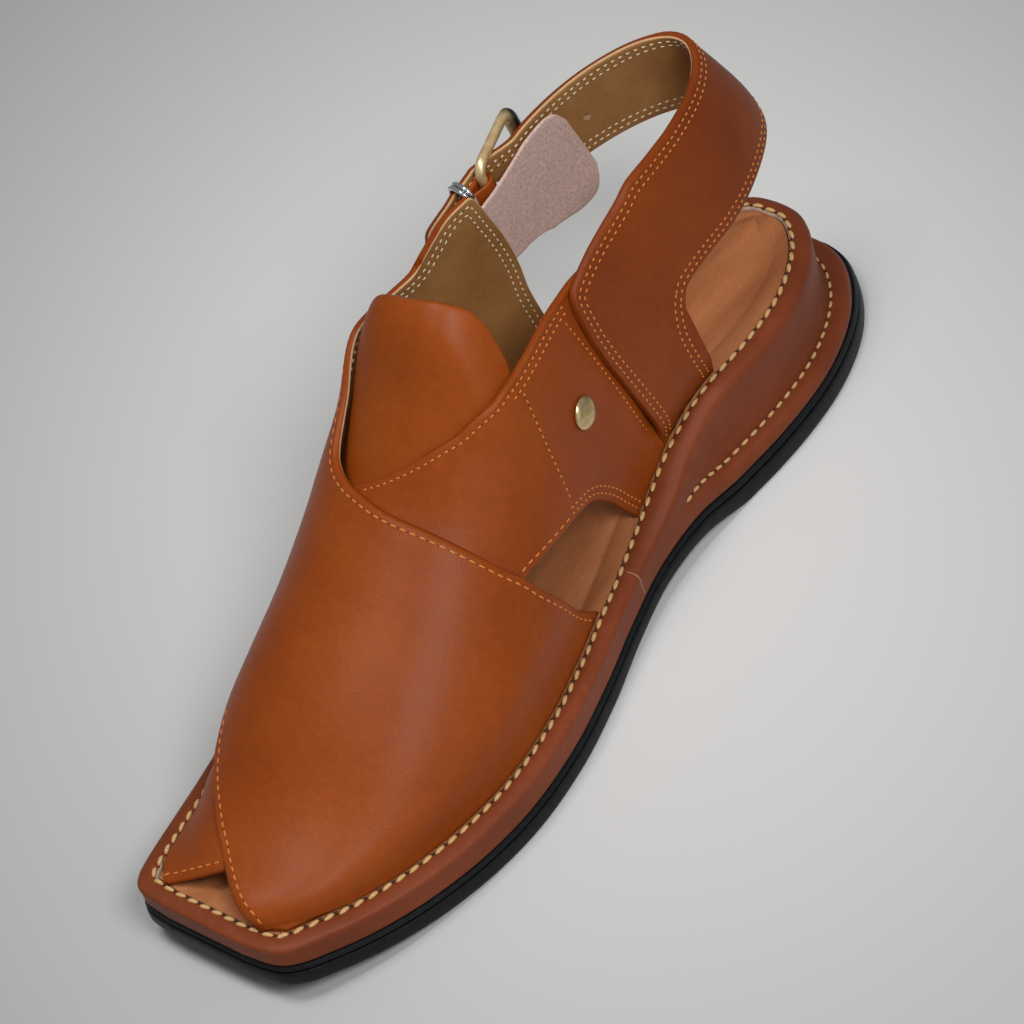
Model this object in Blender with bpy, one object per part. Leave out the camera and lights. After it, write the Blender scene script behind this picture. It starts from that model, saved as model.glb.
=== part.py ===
"""Cross-strap chappal, right shoe, built in metres with +Z up and the toe towards -Y."""
import math

import bmesh
import bpy
import numpy as np

MM = 0.001

bpy.context.scene.unit_settings.system = "METRIC"
for existing in list(bpy.context.scene.objects):
    bpy.data.objects.remove(existing)

# Driving sizes of the sole
SOLE_LENGTH = 0.292
BALL_WIDTH = 0.104
TOE_SPRING = 0.0083
ARCH_RISE = 0.0045
RUBBER = 0.0072
HEEL_RUBBER = 0.0090
LUG_DEPTH = 0.0012

# Driving sizes of the leather platform
RIM_HEIGHT = 0.0170
TOE_RIM_HEIGHT = 0.0232
HEEL_RIM_HEIGHT = 0.0380
RIM_SETBACK = 0.0047
HEEL_SIDE_SETBACK = 0.0097
HEEL_BACK_SETBACK = 0.0165
LIP_WIDTH = 0.0020
LIP_DEPTH = 0.0024

# Driving sizes of the upper
LEATHER = 0.0024
GAP = 0.0003
JOIN_SINK = 0.0014
ANKLE_HEIGHT = 0.1180
OUTER_LEAN = 0.25
RIVET_RADIUS = 0.0049

# Driving sizes of the buckle
BUCKLE_LENGTH = 0.0240
BUCKLE_HEIGHT = 0.0258
BUCKLE_CORNER = 0.0036
BUCKLE_WIRE = 0.00135
BUCKLE_TILT = math.radians(21.6)
PRONG_WIRE = 0.00085
KEEPER_WIRE = 0.0007
TAB_LEATHER = 0.0012
GUARD_LEATHER = 0.0012

# The last stands inside the lip by two layers of leather
LAYER = LEATHER + GAP
LAST_SETBACK = LIP_WIDTH + GAP + LEATHER + LAYER

# Plan of the sole, along from the toe in shares of the length, across in shares of the ball width
OUTLINE = (
    # along, medial, lateral
    (0.000, 0.140, -0.130),
    (0.005, 0.238, -0.222),
    (0.018, 0.290, -0.262),
    (0.045, 0.335, -0.290),
    (0.090, 0.395, -0.325),
    (0.150, 0.450, -0.365),
    (0.215, 0.487, -0.408),
    (0.285, 0.500, -0.450),
    (0.360, 0.477, -0.483),
    (0.430, 0.428, -0.488),
    (0.500, 0.372, -0.465),
    (0.565, 0.335, -0.425),
    (0.630, 0.324, -0.385),
    (0.690, 0.332, -0.358),
    (0.745, 0.345, -0.348),
    (0.795, 0.347, -0.345),
    (0.845, 0.335, -0.332),
    (0.890, 0.305, -0.303),
    (0.930, 0.258, -0.257),
    (0.965, 0.190, -0.190),
    (0.990, 0.105, -0.105),
    (1.000, 0.000, 0.000),
)

# Heights along the sole, each in shares of its own named size
LEVELS = (
    # along, toe spring, arch, toe rim, heel rim, heel rubber
    (0.00, 1.00, 0.00, 1.00, 0.00, 0.00),
    (0.04, 0.70, 0.00, 0.80, 0.00, 0.00),
    (0.09, 0.42, 0.00, 0.45, 0.00, 0.00),
    (0.15, 0.18, 0.00, 0.18, 0.00, 0.00),
    (0.22, 0.03, 0.00, 0.03, 0.00, 0.00),
    (0.26, 0.00, 0.00, 0.00, 0.00, 0.00),
    (0.42, 0.00, 0.00, 0.00, 0.01, 0.00),
    (0.51, 0.00, 0.50, 0.00, 0.10, -0.50),
    (0.57, 0.00, 0.92, 0.00, 0.24, -0.60),
    (0.61, 0.00, 1.00, 0.00, 0.43, -0.50),
    (0.64, 0.00, 0.85, 0.00, 0.61, -0.10),
    (0.67, 0.00, 0.40, 0.00, 0.76, 0.40),
    (0.70, 0.00, 0.00, 0.00, 0.90, 0.90),
    (0.74, 0.00, 0.00, 0.00, 1.00, 1.00),
    (1.00, 0.00, 0.00, 0.00, 1.00, 1.00),
)

# Last under the upper: ridge across in ball widths, ridge height in ankle heights, roundness of each side
LAST = (
    # along, ridge across, ridge height, medial round, lateral round
    (0.030, 0.000, 0.200, 2.0, 2.0),
    (0.075, 0.000, 0.212, 2.0, 2.0),
    (0.100, 0.000, 0.232, 2.0, 2.0),
    (0.150, 0.000, 0.295, 2.0, 2.0),
    (0.220, -0.010, 0.396, 2.0, 2.1),
    (0.320, -0.030, 0.522, 2.0, 2.0),
    (0.395, -0.045, 0.625, 2.0, 2.25),
    (0.457, -0.055, 0.775, 2.1, 3.0),
    (0.509, -0.060, 0.960, 2.1, 3.4),
    (0.560, -0.062, 1.020, 2.0, 3.8),
    (0.640, -0.062, 1.085, 1.55, 4.2),
    (0.760, -0.062, 1.085, 1.50, 4.5),
)

# Rear reach of the heel strap by height
HEEL_PIVOT = 0.748
HEEL_REACH = (
    # height in ankle heights, along
    (0.32, 0.913),
    (0.59, 0.941),
    (0.92, 0.899),
)


def profile(table, column, along):
    """Smooth curve through one column of a table, without overshoot."""
    xs = np.array([row[0] for row in table])
    ys = np.array([row[column] for row in table])
    steps = np.diff(xs)
    rise = np.diff(ys) / steps
    slope = np.zeros(len(xs))
    for i in range(1, len(xs) - 1):
        if rise[i - 1] * rise[i] > 0:
            slope[i] = 2 * rise[i - 1] * rise[i] / (rise[i - 1] + rise[i])
    slope[0] = rise[0]
    slope[-1] = rise[-1]
    at = np.clip(np.asarray(along, float), xs[0], xs[-1])
    k = np.clip(np.searchsorted(xs, at, side="right") - 1, 0, len(steps) - 1)
    t = (at - xs[k]) / steps[k]
    low = ys[k] * (1 + 2 * t) * (1 - t) ** 2 + slope[k] * steps[k] * t * (1 - t) ** 2
    high = ys[k + 1] * t * t * (3 - 2 * t) - slope[k + 1] * steps[k] * t * t * (1 - t)
    return low + high


def ease(low, high, value):
    """Smooth step from 0 at low to 1 at high."""
    t = np.clip((np.asarray(value, float) - low) / (high - low), 0, 1)
    return t * t * (3 - 2 * t)


def through(rows, count):
    """Catmull-Rom curve through table rows, with count steps in every interval."""
    pts = np.array(rows, float)
    ends = np.vstack([2 * pts[0] - pts[1], pts, 2 * pts[-1] - pts[-2]])
    out = []
    for i in range(len(pts) - 1):
        a, b, c, d = ends[i:i + 4]
        for step in range(count):
            t = step / count
            out.append(0.5 * (2 * b + (c - a) * t + (2 * a - 5 * b + 4 * c - d) * t ** 2
                              + (3 * b - a - 3 * c + d) * t ** 3))
    out.append(pts[-1])
    return np.array(out)


def length_at(along):
    """Place along the shoe in metres, toe at the negative end."""
    return (np.asarray(along, float) - 0.5) * SOLE_LENGTH


# Sole outline: medial side from toe to heel, then the lateral side back to the toe
PLAN = through(OUTLINE, 2)
PLAN_ROWS = len(PLAN)
RING_ALONG = np.concatenate([PLAN[:, 0], PLAN[-2::-1, 0]])
RING_XY = np.column_stack([np.concatenate([PLAN[:, 1], PLAN[-2::-1, 2]]) * BALL_WIDTH, length_at(RING_ALONG)])


def inward(ring):
    """Unit normals pointing into a closed plan ring."""
    tangent = np.roll(ring, -1, axis=0) - np.roll(ring, 1, axis=0)
    tangent /= np.linalg.norm(tangent, axis=1)[:, None]
    return np.column_stack([-tangent[:, 1], tangent[:, 0]])


RING_IN = inward(RING_XY)
RING_BACK = np.clip(-RING_IN[:, 1], 0, 1) ** 1.5 * ease(0.75, 0.9, RING_ALONG)
RING_HEEL = ease(0.60, 0.71, RING_ALONG)
HEEL_SETBACK = HEEL_SIDE_SETBACK + (HEEL_BACK_SETBACK - HEEL_SIDE_SETBACK) * RING_BACK
SETBACK = RIM_SETBACK + (HEEL_SETBACK - RIM_SETBACK) * ease(0.50, 0.71, RING_ALONG)


def ground(along):
    """Underside of the rubber."""
    return TOE_SPRING * profile(LEVELS, 1, along) + ARCH_RISE * profile(LEVELS, 2, along)


def rubber_top(along):
    """Top of the rubber."""
    return ground(along) + RUBBER + (HEEL_RUBBER - RUBBER) * profile(LEVELS, 5, along)


def rim_top(along):
    """Top of the rolled leather rim."""
    toe = (TOE_RIM_HEIGHT - RIM_HEIGHT) * profile(LEVELS, 3, along)
    return RIM_HEIGHT + toe + (HEEL_RIM_HEIGHT - RIM_HEIGHT) * profile(LEVELS, 4, along)


def ring_at(inset, height):
    """Ring of points set in from the outline; height is a function of the place along."""
    xy = RING_XY + RING_IN * np.reshape(inset, (-1, 1))
    step = 0.25 * MM
    last = len(xy) - 1
    for i in range(1, 10):
        xy[i, 1] = max(xy[i, 1], xy[i - 1, 1] + step)
        xy[last - i, 1] = max(xy[last - i, 1], xy[last - i + 1, 1] + step)
    z = height(xy[:, 1] / SOLE_LENGTH + 0.5)
    return np.column_stack([xy, z])


def mesh_object(name, verts, faces, material, smooth=True, sharp=math.radians(38)):
    """Mesh object from points and faces, shaded smooth below the sharp angle."""
    mesh = bpy.data.meshes.new(name)
    mesh.from_pydata([tuple(map(float, v)) for v in verts], [], [tuple(f) for f in faces])
    bm = bmesh.new()
    bm.from_mesh(mesh)
    bmesh.ops.remove_doubles(bm, verts=bm.verts[:], dist=2e-6)
    bmesh.ops.dissolve_degenerate(bm, dist=1e-6, edges=bm.edges[:])
    bmesh.ops.recalc_face_normals(bm, faces=bm.faces[:])
    for face in bm.faces:
        face.smooth = smooth
    for edge in bm.edges:
        edge.smooth = edge.calc_face_angle(0.0) < sharp
    bm.to_mesh(mesh)
    bm.free()
    mesh.materials.append(material)
    obj = bpy.data.objects.new(name, mesh)
    bpy.context.scene.collection.objects.link(obj)
    return obj


def deck(ring, base, count, columns, lift, flip):
    """Grid faces across a ring from its medial to its lateral side; returns new points and faces."""
    points = []
    faces = []
    index = []
    for i in range(PLAN_ROWS - 1):
        near, far = i, len(ring) - 1 - i
        row = [base + near]
        for c in range(1, columns if i else 1):
            share = c / columns
            point = ring[near] * (1 - share) + ring[far] * share
            points.append(point + np.array([0, 0, lift(i, share)]))
            row.append(count + len(points) - 1)
        index.append(row + [base + far])
    heel = base + PLAN_ROWS - 1
    faces.append(index[0] + index[1][::-1])
    for row, after in zip(index[1:-1], index[2:]):
        faces += [[row[c], row[c + 1], after[c + 1], after[c]] for c in range(columns)]
    faces += [[index[-1][c], index[-1][c + 1], heel] for c in range(columns)]
    return points, [face[::-1] for face in faces] if flip else faces


def layered(name, rings, material, columns=(1, 1), lifts=None):
    """Closed solid from stacked rings, capped by decks at the first and the last ring."""
    lifts = lifts or (lambda i, s: 0.0, lambda i, s: 0.0)
    verts = [p for ring in rings for p in ring]
    size = len(rings[0])
    faces = []
    for r in range(len(rings) - 1):
        for i in range(size):
            j = (i + 1) % size
            faces.append([r * size + i, r * size + j, (r + 1) * size + j, (r + 1) * size + i])
    bottom, quads = deck(rings[0], 0, len(verts), columns[0], lifts[0], False)
    verts += bottom
    faces += quads
    top, quads = deck(rings[-1], (len(rings) - 1) * size, len(verts), columns[1], lifts[1], True)
    verts += top
    faces += quads
    return mesh_object(name, verts, faces, material)


def last_base(along):
    """Medial and lateral foot lines of the last at places along the shoe."""
    xy = RING_XY + RING_IN * (SETBACK + LAST_SETBACK)[:, None]
    half = PLAN_ROWS
    medial = xy[:half]
    lateral = xy[:half - 2:-1]
    y = length_at(along)
    sides = []
    for side in (medial, lateral):
        keep = np.concatenate([[True], np.diff(np.maximum.accumulate(side[:, 1])) > 1e-6])
        sides.append(np.interp(y, side[keep, 1], side[keep, 0]))
    return sides


FOOT_DROP = 0.0006


def last_point(along, turn):
    """Point of the last; turn runs from 0 at the medial rim over 90 at the ridge to 180 at the lateral rim."""
    along = np.asarray(along, float)
    angle = np.radians(np.asarray(turn, float))
    medial, lateral = last_base(along)
    ridge = profile(LAST, 1, along) * BALL_WIDTH
    foot = rim_top(along) - FOOT_DROP
    height = np.maximum(profile(LAST, 2, along) * ANKLE_HEIGHT - foot, 0.5 * MM)
    round_power = np.where(angle < math.pi / 2, profile(LAST, 3, along), profile(LAST, 4, along))
    cos = np.abs(np.cos(angle))
    sin = np.abs(np.sin(angle))
    reach = (cos ** round_power + sin ** round_power) ** (-1 / round_power)
    lean = 1 + OUTER_LEAN * ease(0.50, 0.62, along) * sin * reach
    side = np.where(angle < math.pi / 2, medial - ridge, (lateral - ridge) * lean)
    return np.stack([ridge + side * cos * reach, length_at(along), foot + height * sin * reach], -1)


def skin(along, turn, layers):
    """Point on the last raised by a number of leather layers along its normal."""
    step = 0.002
    here = last_point(along, turn)
    ahead = last_point(np.asarray(along) + step, turn) - last_point(np.asarray(along) - step, turn)
    low = np.clip(np.asarray(turn, float) - 1.0, 0, 180)
    high = np.clip(np.asarray(turn, float) + 1.0, 0, 180)
    around = last_point(along, high) - last_point(along, low)
    normal = np.cross(ahead, around)
    normal /= np.linalg.norm(normal, axis=-1)[..., None]
    outward = np.stack([here[..., 0] - profile(LAST, 1, along) * BALL_WIDTH, 0 * here[..., 0],
                        here[..., 2] - 0.0], -1)
    normal *= np.sign(np.sum(normal * outward, -1))[..., None]
    return here + normal * (np.asarray(layers) * LAYER)[..., None], normal


def wall_point(turn, height):
    """Point of the standing walls and heel; turn 0 to 1 goes round the heel, less is medial, more is lateral."""
    turn = np.asarray(turn, float)
    height = np.asarray(height, float)
    along = HEEL_PIVOT - 0.2 * np.maximum(np.maximum(-turn, turn - 1), 0)
    medial, lateral = last_base(along)
    ridge = profile(LAST, 1, along) * BALL_WIDTH
    foot = rim_top(along) - FOOT_DROP
    share = np.clip((height - foot) / (profile(LAST, 2, along) * ANKLE_HEIGHT - foot), 0, 0.98)
    near = profile(LAST, 3, along)
    far = profile(LAST, 4, along)
    inner = ridge + (medial - ridge) * (1 - share ** near) ** (1 / near)
    lean = 1 + OUTER_LEAN * ease(0.50, 0.62, along) * share
    outer = ridge + (lateral - ridge) * lean * (1 - share ** far) ** (1 / far)
    angle = np.clip(turn, 0, 1) * math.pi
    reach = (profile(HEEL_REACH, 1, height / ANKLE_HEIGHT) - HEEL_PIVOT) * SOLE_LENGTH
    middle = (inner + outer) / 2
    return np.stack([middle + (inner - outer) / 2 * np.cos(angle),
                     length_at(along) + reach * np.sin(angle), height], -1)


def wall_skin(turn, height, layers):
    """Wall point raised by leather layers, with its outward normal."""
    here = wall_point(turn, height)
    around = wall_point(np.asarray(turn) + 0.01, height) - wall_point(np.asarray(turn) - 0.01, height)
    up = wall_point(turn, np.asarray(height) + MM) - wall_point(turn, np.asarray(height) - MM)
    normal = np.cross(around, up)
    normal /= np.linalg.norm(normal, axis=-1)[..., None]
    return here + normal * (np.asarray(layers) * LAYER)[..., None], normal


def sheet(name, low, high, material, absent=()):
    """Closed leather sheet between two grids of points; absent cells are left open."""
    rows, cols = low.shape[:2]
    verts = list(low.reshape(-1, 3)) + list(high.reshape(-1, 3))
    size = rows * cols
    present = {(r, c) for r in range(rows - 1) for c in range(cols - 1)} - set(absent)
    faces = []
    for r, c in sorted(present):
        a, b = r * cols + c, r * cols + c + 1
        d, e = a + cols, b + cols
        faces.append([a, b, e, d])
        faces.append([size + a, size + d, size + e, size + b])
        sides = (((r - 1, c), (a, b)), ((r + 1, c), (e, d)), ((r, c - 1), (d, a)), ((r, c + 1), (b, e)))
        for neighbour, (p, q) in sides:
            if neighbour not in present:
                faces.append([q, p, size + p, size + q])
    return mesh_object(name, verts, faces, material)


def tube(name, path, radii, material, closed=False, sides=8):
    """Round bar along a path."""
    path = np.array(path, float)
    count = len(path)
    radii = np.broadcast_to(radii, count)
    verts = []
    frame = None
    for i in range(count):
        before = path[i - 1] if i or closed else path[0]
        after = path[(i + 1) % count] if i < count - 1 or closed else path[-1]
        tangent = (after - before) / np.linalg.norm(after - before)
        if frame is None:
            frame = np.cross(tangent, [0.31, 0.17, 0.93])
        frame = frame - tangent * frame.dot(tangent)
        frame /= np.linalg.norm(frame)
        side = np.cross(tangent, frame)
        for k in range(sides):
            angle = 2 * math.pi * k / sides
            verts.append(path[i] + radii[i] * (math.cos(angle) * frame + math.sin(angle) * side))
    faces = []
    for i in range(count if closed else count - 1):
        j = (i + 1) % count
        for k in range(sides):
            m = (k + 1) % sides
            faces.append([i * sides + k, i * sides + m, j * sides + m, j * sides + k])
    if not closed:
        faces.append(list(range(sides))[::-1])
        faces.append([(count - 1) * sides + k for k in range(sides)])
    return mesh_object(name, verts, faces, material, sharp=math.radians(60))


def joined(name, first, second):
    """Exact union of two solids kept in the first object."""
    union = first.modifiers.new("union", "BOOLEAN")
    union.operation = "UNION"
    union.solver = "EXACT"
    union.object = second
    bpy.context.view_layer.update()
    mesh = bpy.data.meshes.new_from_object(first.evaluated_get(bpy.context.evaluated_depsgraph_get()))
    first.modifiers.remove(union)
    bpy.data.objects.remove(second)
    bm = bmesh.new()
    bm.from_mesh(mesh)
    bmesh.ops.remove_doubles(bm, verts=bm.verts[:], dist=2e-5)
    bmesh.ops.dissolve_degenerate(bm, dist=5e-6, edges=bm.edges[:])
    bmesh.ops.triangulate(bm, faces=[f for f in bm.faces if len(f.verts) > 4])
    bm.to_mesh(mesh)
    bm.free()
    first.data = mesh
    mesh.name = name
    first.name = name
    return first


# Materials
def material(name, colour, roughness, metallic=0.0, coat=0.0):
    """Principled material with fixed values."""
    made = bpy.data.materials.new(name)
    made.use_nodes = True
    shader = made.node_tree.nodes["Principled BSDF"]
    shader.inputs["Base Color"].default_value = (*colour, 1.0)
    shader.inputs["Roughness"].default_value = roughness
    shader.inputs["Metallic"].default_value = metallic
    shader.inputs["Coat Weight"].default_value = coat
    made.diffuse_color = (*colour, 1.0)
    return made


RUBBER_BLACK = material("black_rubber", (0.012, 0.013, 0.015), 0.55)
PLATFORM_TAN = material("platform_leather", (0.36, 0.105, 0.035), 0.42)
INSOLE_TAN = material("insole_leather", (0.46, 0.19, 0.085), 0.5)
UPPER_TAN = material("upper_leather", (0.33, 0.088, 0.022), 0.4)
TONGUE_TAN = material("tongue_leather", (0.31, 0.08, 0.02), 0.38)
STRAP_TAN = material("strap_leather", (0.34, 0.09, 0.022), 0.4)
TAB_BROWN = material("tab_leather", (0.16, 0.05, 0.02), 0.45)
SUEDE = material("guard_suede", (0.36, 0.25, 0.21), 0.9)
BRASS = material("buckle_brass", (0.55, 0.38, 0.14), 0.3, metallic=1.0)
CHROME = material("prong_chrome", (0.7, 0.7, 0.72), 0.15, metallic=1.0)
KEEPER_CHROME = material("keeper_chrome", (0.66, 0.67, 0.7), 0.18, metallic=1.0)
RIVET_BRASS = material("rivet_brass", (0.45, 0.31, 0.13), 0.35, metallic=1.0)

# Outsole: rubber with a groove round its side and cross grooves underneath
RUBBER_SIDE = (
    # inset, share of the height
    (0.0007, 0.00),
    (0.0000, 0.10),
    (0.0002, 0.62),
    (0.0011, 0.67),
    (0.0011, 0.76),
    (0.0003, 0.81),
    (0.0010, 1.00),
)


def rubber_level(share):
    """Height function at a share of the rubber's thickness."""
    return lambda along: ground(along) * (1 - share) + rubber_top(along) * share


outsole = layered("outsole", [ring_at(inset, rubber_level(share)) for inset, share in RUBBER_SIDE], RUBBER_BLACK)

GROOVES = (8, 10, 12, 14, 16, 18, 20, 28, 30, 32, 34, 36)


def add_grooves(obj):
    """Press cross grooves into the underside between the named rows."""
    bm = bmesh.new()
    bm.from_mesh(obj.data)
    for row in GROOVES:
        low, high = length_at(PLAN[row, 0]), length_at(PLAN[row + 1, 0])
        chosen = [f for f in bm.faces if f.normal.z < -0.9 and low < f.calc_center_median().y < high
                  and f.calc_center_median().z < HEEL_RUBBER / 2 and f.calc_area() > 2e-4]
        bmesh.ops.inset_region(bm, faces=chosen, thickness=2.2 * MM, depth=-LUG_DEPTH)
    bm.to_mesh(obj.data)
    bm.free()


add_grooves(outsole)

# Midsole: leather-wrapped platform with a rolled rim, a heel ledge and a recess for the insole
WALL_INSET = 0.0006 + (HEEL_SETBACK - 0.0045 - 0.0006) * RING_HEEL
LEDGE_INSET = 0.0008 + 0.0022 * RING_BACK
GROOVE_INSET = 0.0008 + (0.0036 + 0.0058 * RING_BACK) * RING_HEEL


def platform(forefoot, heel):
    """Height function: forefoot share of the platform, heel millimetres above the rubber or below the rim."""
    def level(along):
        base = rubber_top(along) + GAP
        rim = rim_top(along)
        rear = base + heel * MM if heel >= 0 else rim + heel * MM
        front = base + (rim - base) * forefoot
        return front + (rear - front) * ease(0.60, 0.71, along)
    return level


def below_rim(drop):
    """Height function at a drop below the rim."""
    return lambda along: rim_top(along) - drop


platform_rings = [
    ring_at(LEDGE_INSET + 0.0006, platform(0.0, 0.0)),
    ring_at(LEDGE_INSET, platform(0.12, 1.2)),
    ring_at(LEDGE_INSET + 0.0004 * RING_HEEL, platform(0.26, 3.0)),
    ring_at(LEDGE_INSET + 0.0015 * RING_HEEL, platform(0.38, 4.4)),
    ring_at(GROOVE_INSET, platform(0.48, 5.0)),
    ring_at(GROOVE_INSET + 0.0010 * RING_HEEL, platform(0.56, 6.8)),
    ring_at(WALL_INSET + 0.0008 * RING_HEEL, platform(0.66, 12.0)),
    ring_at(WALL_INSET + 0.0002 * RING_HEEL, platform(0.76, -5.5)),
    ring_at(WALL_INSET + 0.0002, platform(0.86, -2.6)),
    ring_at(WALL_INSET + 0.0016, platform(0.96, -0.8)),
    ring_at(SETBACK - 0.0008, below_rim(0.0)),
    ring_at(SETBACK + 0.0012, below_rim(0.0003)),
    ring_at(SETBACK + LIP_WIDTH, below_rim(0.0010)),
    ring_at(SETBACK + LIP_WIDTH, below_rim(LIP_DEPTH)),
]
midsole = layered("midsole", platform_rings, PLATFORM_TAN)

# Insole: thin margin under the feet of the upper and a raised pad inside it
MARGIN = 0.0012
PAD_EDGE = SETBACK + LAST_SETBACK + 0.0018 - 0.0060 * RING_BACK
PAD_HEIGHT = 0.0016


def pad_crown(row, share):
    """Gentle rise of the pad towards its middle."""
    return PAD_HEIGHT * math.sin(math.pi * share) ** 0.8 * min(1.0, row / 4, (PLAN_ROWS - 1 - row) / 4)


insole_rings = [
    ring_at(SETBACK + LIP_WIDTH + GAP, below_rim(LIP_DEPTH - GAP)),
    ring_at(SETBACK + LIP_WIDTH + GAP, below_rim(LIP_DEPTH - GAP - MARGIN + 0.0003)),
    ring_at(SETBACK + LIP_WIDTH + GAP + 0.0004, below_rim(LIP_DEPTH - GAP - MARGIN)),
    ring_at(PAD_EDGE - 0.0012, below_rim(LIP_DEPTH - GAP - MARGIN)),
    ring_at(PAD_EDGE - 0.0002, below_rim(LIP_DEPTH - GAP - MARGIN + 0.0003)),
    ring_at(PAD_EDGE + 0.0010, below_rim(LIP_DEPTH - GAP - MARGIN - 0.0004)),
    ring_at(PAD_EDGE + 0.0030, below_rim(LIP_DEPTH - GAP - MARGIN - 0.0013)),
]
insole = layered("insole", insole_rings, INSOLE_TAN, columns=(1, 6), lifts=(lambda i, s: 0.0, pad_crown))

# Upper: two crossing panels, each a band between a front and a back edge on the last
NEAR_PANEL = (
    # front along, front turn, back along, back turn
    (0.0399, 0.0, 0.4735, 0.0),
    (0.0399, 5.0, 0.4570, 5.6),
    (0.0401, 11.4, 0.4405, 13.4),
    (0.0404, 20.0, 0.4216, 25.4),
    (0.0407, 29.0, 0.4128, 34.2),
    (0.0411, 40.0, 0.4033, 43.0),
    (0.0420, 56.0, 0.3957, 53.4),
    (0.0450, 73.0, 0.3907, 63.8),
    (0.0525, 83.5, 0.3867, 74.5),
    (0.0614, 91.7, 0.3859, 84.3),
    (0.0740, 100.5, 0.3903, 94.4),
    (0.0866, 108.6, 0.3976, 103.8),
    (0.1077, 120.5, 0.4102, 113.0),
    (0.1307, 131.1, 0.4250, 119.5),
    (0.1500, 137.0, 0.4504, 124.5),
    (0.1800, 142.0, 0.4800, 129.5),
    (0.2300, 145.5, 0.5100, 134.0),
    (0.2900, 147.5, 0.5400, 138.0),
    (0.3500, 148.5, 0.5750, 141.0),
    (0.3900, 149.0, 0.5926, 141.5),
    (0.4200, 149.5, 0.6106, 140.5),
    (0.4478, 152.6, 0.6314, 139.0),
    (0.4700, 156.0, 0.6504, 138.5),
    (0.4900, 159.5, 0.6640, 139.0),
    (0.5113, 162.2, 0.6740, 144.0),
    (0.5250, 164.0, 0.6840, 150.5),
    (0.5400, 166.5, 0.6880, 156.0),
    (0.5572, 170.6, 0.6880, 162.0),
    (0.5700, 175.0, 0.6940, 170.0),
    (0.5780, 178.0, 0.7020, 175.5),
    (0.5800, 180.0, 0.7080, 180.0),
)
UNDER_PANEL = (
    # front along, front turn, back along, back turn
    (0.0400, 180.0, 0.4735, 180.0),
    (0.0390, 174.0, 0.4570, 174.4),
    (0.0380, 166.0, 0.4405, 166.6),
    (0.0370, 156.0, 0.4216, 156.0),
    (0.0360, 143.0, 0.4128, 148.0),
    (0.0345, 128.0, 0.4050, 138.0),
    (0.0345, 113.6, 0.3985, 126.0),
    (0.0390, 103.0, 0.3960, 116.0),
    (0.0449, 95.7, 0.3978, 106.0),
    (0.0541, 88.1, 0.4040, 98.0),
    (0.0680, 81.0, 0.4113, 91.1),
    (0.0866, 72.0, 0.4205, 85.0),
    (0.1077, 61.0, 0.4305, 79.4),
    (0.1307, 51.0, 0.4415, 74.0),
    (0.1600, 44.5, 0.4525, 69.1),
    (0.1950, 40.0, 0.4650, 63.8),
    (0.2300, 37.0, 0.4790, 58.7),
    (0.2700, 35.0, 0.4900, 54.9),
    (0.3100, 33.5, 0.5007, 52.2),
    (0.3500, 32.6, 0.5224, 49.9),
    (0.3850, 32.2, 0.5420, 49.0),
    (0.4177, 32.0, 0.5624, 48.6),
    (0.4478, 27.4, 0.5872, 48.6),
    (0.4867, 20.9, 0.6150, 48.6),
    (0.5112, 17.7, 0.6450, 48.5),
    (0.5250, 16.2, 0.6650, 47.0),
    (0.5400, 13.6, 0.6800, 41.0),
    (0.5573, 9.1, 0.6880, 29.0),
    (0.5680, 5.0, 0.6910, 16.0),
    (0.5750, 2.0, 0.6940, 6.0),
    (0.5790, 0.0, 0.6950, 0.0),
)
PANEL_COLUMNS = 14


def near_layers(along, turn):
    """The near panel lies over the other one and comes down one layer at both rims."""
    over = ease(4, 24, turn) * (1 - ease(0.40, 0.47, along) * ease(95, 118, turn))
    return 1 + over * (1 - JOIN_SINK / LAYER)


def under_layers(along, turn):
    """The under panel drops one layer at its foot behind the heel strap."""
    return 1 - ease(0.625, 0.665, along) * (1 - ease(6, 22, turn)) * (turn < 90)


def panel_grid(table, columns):
    """Along and turn of a panel's grid, from its two edges."""
    edges = through(table, 1)
    share = np.linspace(0, 1, columns + 1)[None, :]
    along = edges[:, 0:1] * (1 - share) + edges[:, 2:3] * share
    turn = edges[:, 1:2] * (1 - share) + edges[:, 3:4] * share
    return along, np.clip(turn, 0, 180)


def footed(points, on_rim):
    """Keep leather above the insole margin, and its feet exactly on it."""
    level = rim_top(points[..., 1] / SOLE_LENGTH + 0.5) - FOOT_DROP
    points = points.copy()
    points[..., 2] = np.where(on_rim, level, np.maximum(points[..., 2], level))
    return points


def panel(name, table, layers, colour, columns=PANEL_COLUMNS):
    """Solid panel of one leather thickness."""
    along, turn = panel_grid(table, columns)
    inner, normal = skin(along, turn, layers(along, turn))
    on_rim = (turn < 0.01) | (turn > 179.99)
    return sheet(name, footed(inner, on_rim), footed(inner + normal * LEATHER, on_rim), colour)


upper = joined("upper", panel("upper", NEAR_PANEL, near_layers, UPPER_TAN),
               panel("under_panel", UNDER_PANEL, under_layers, UPPER_TAN))

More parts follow.
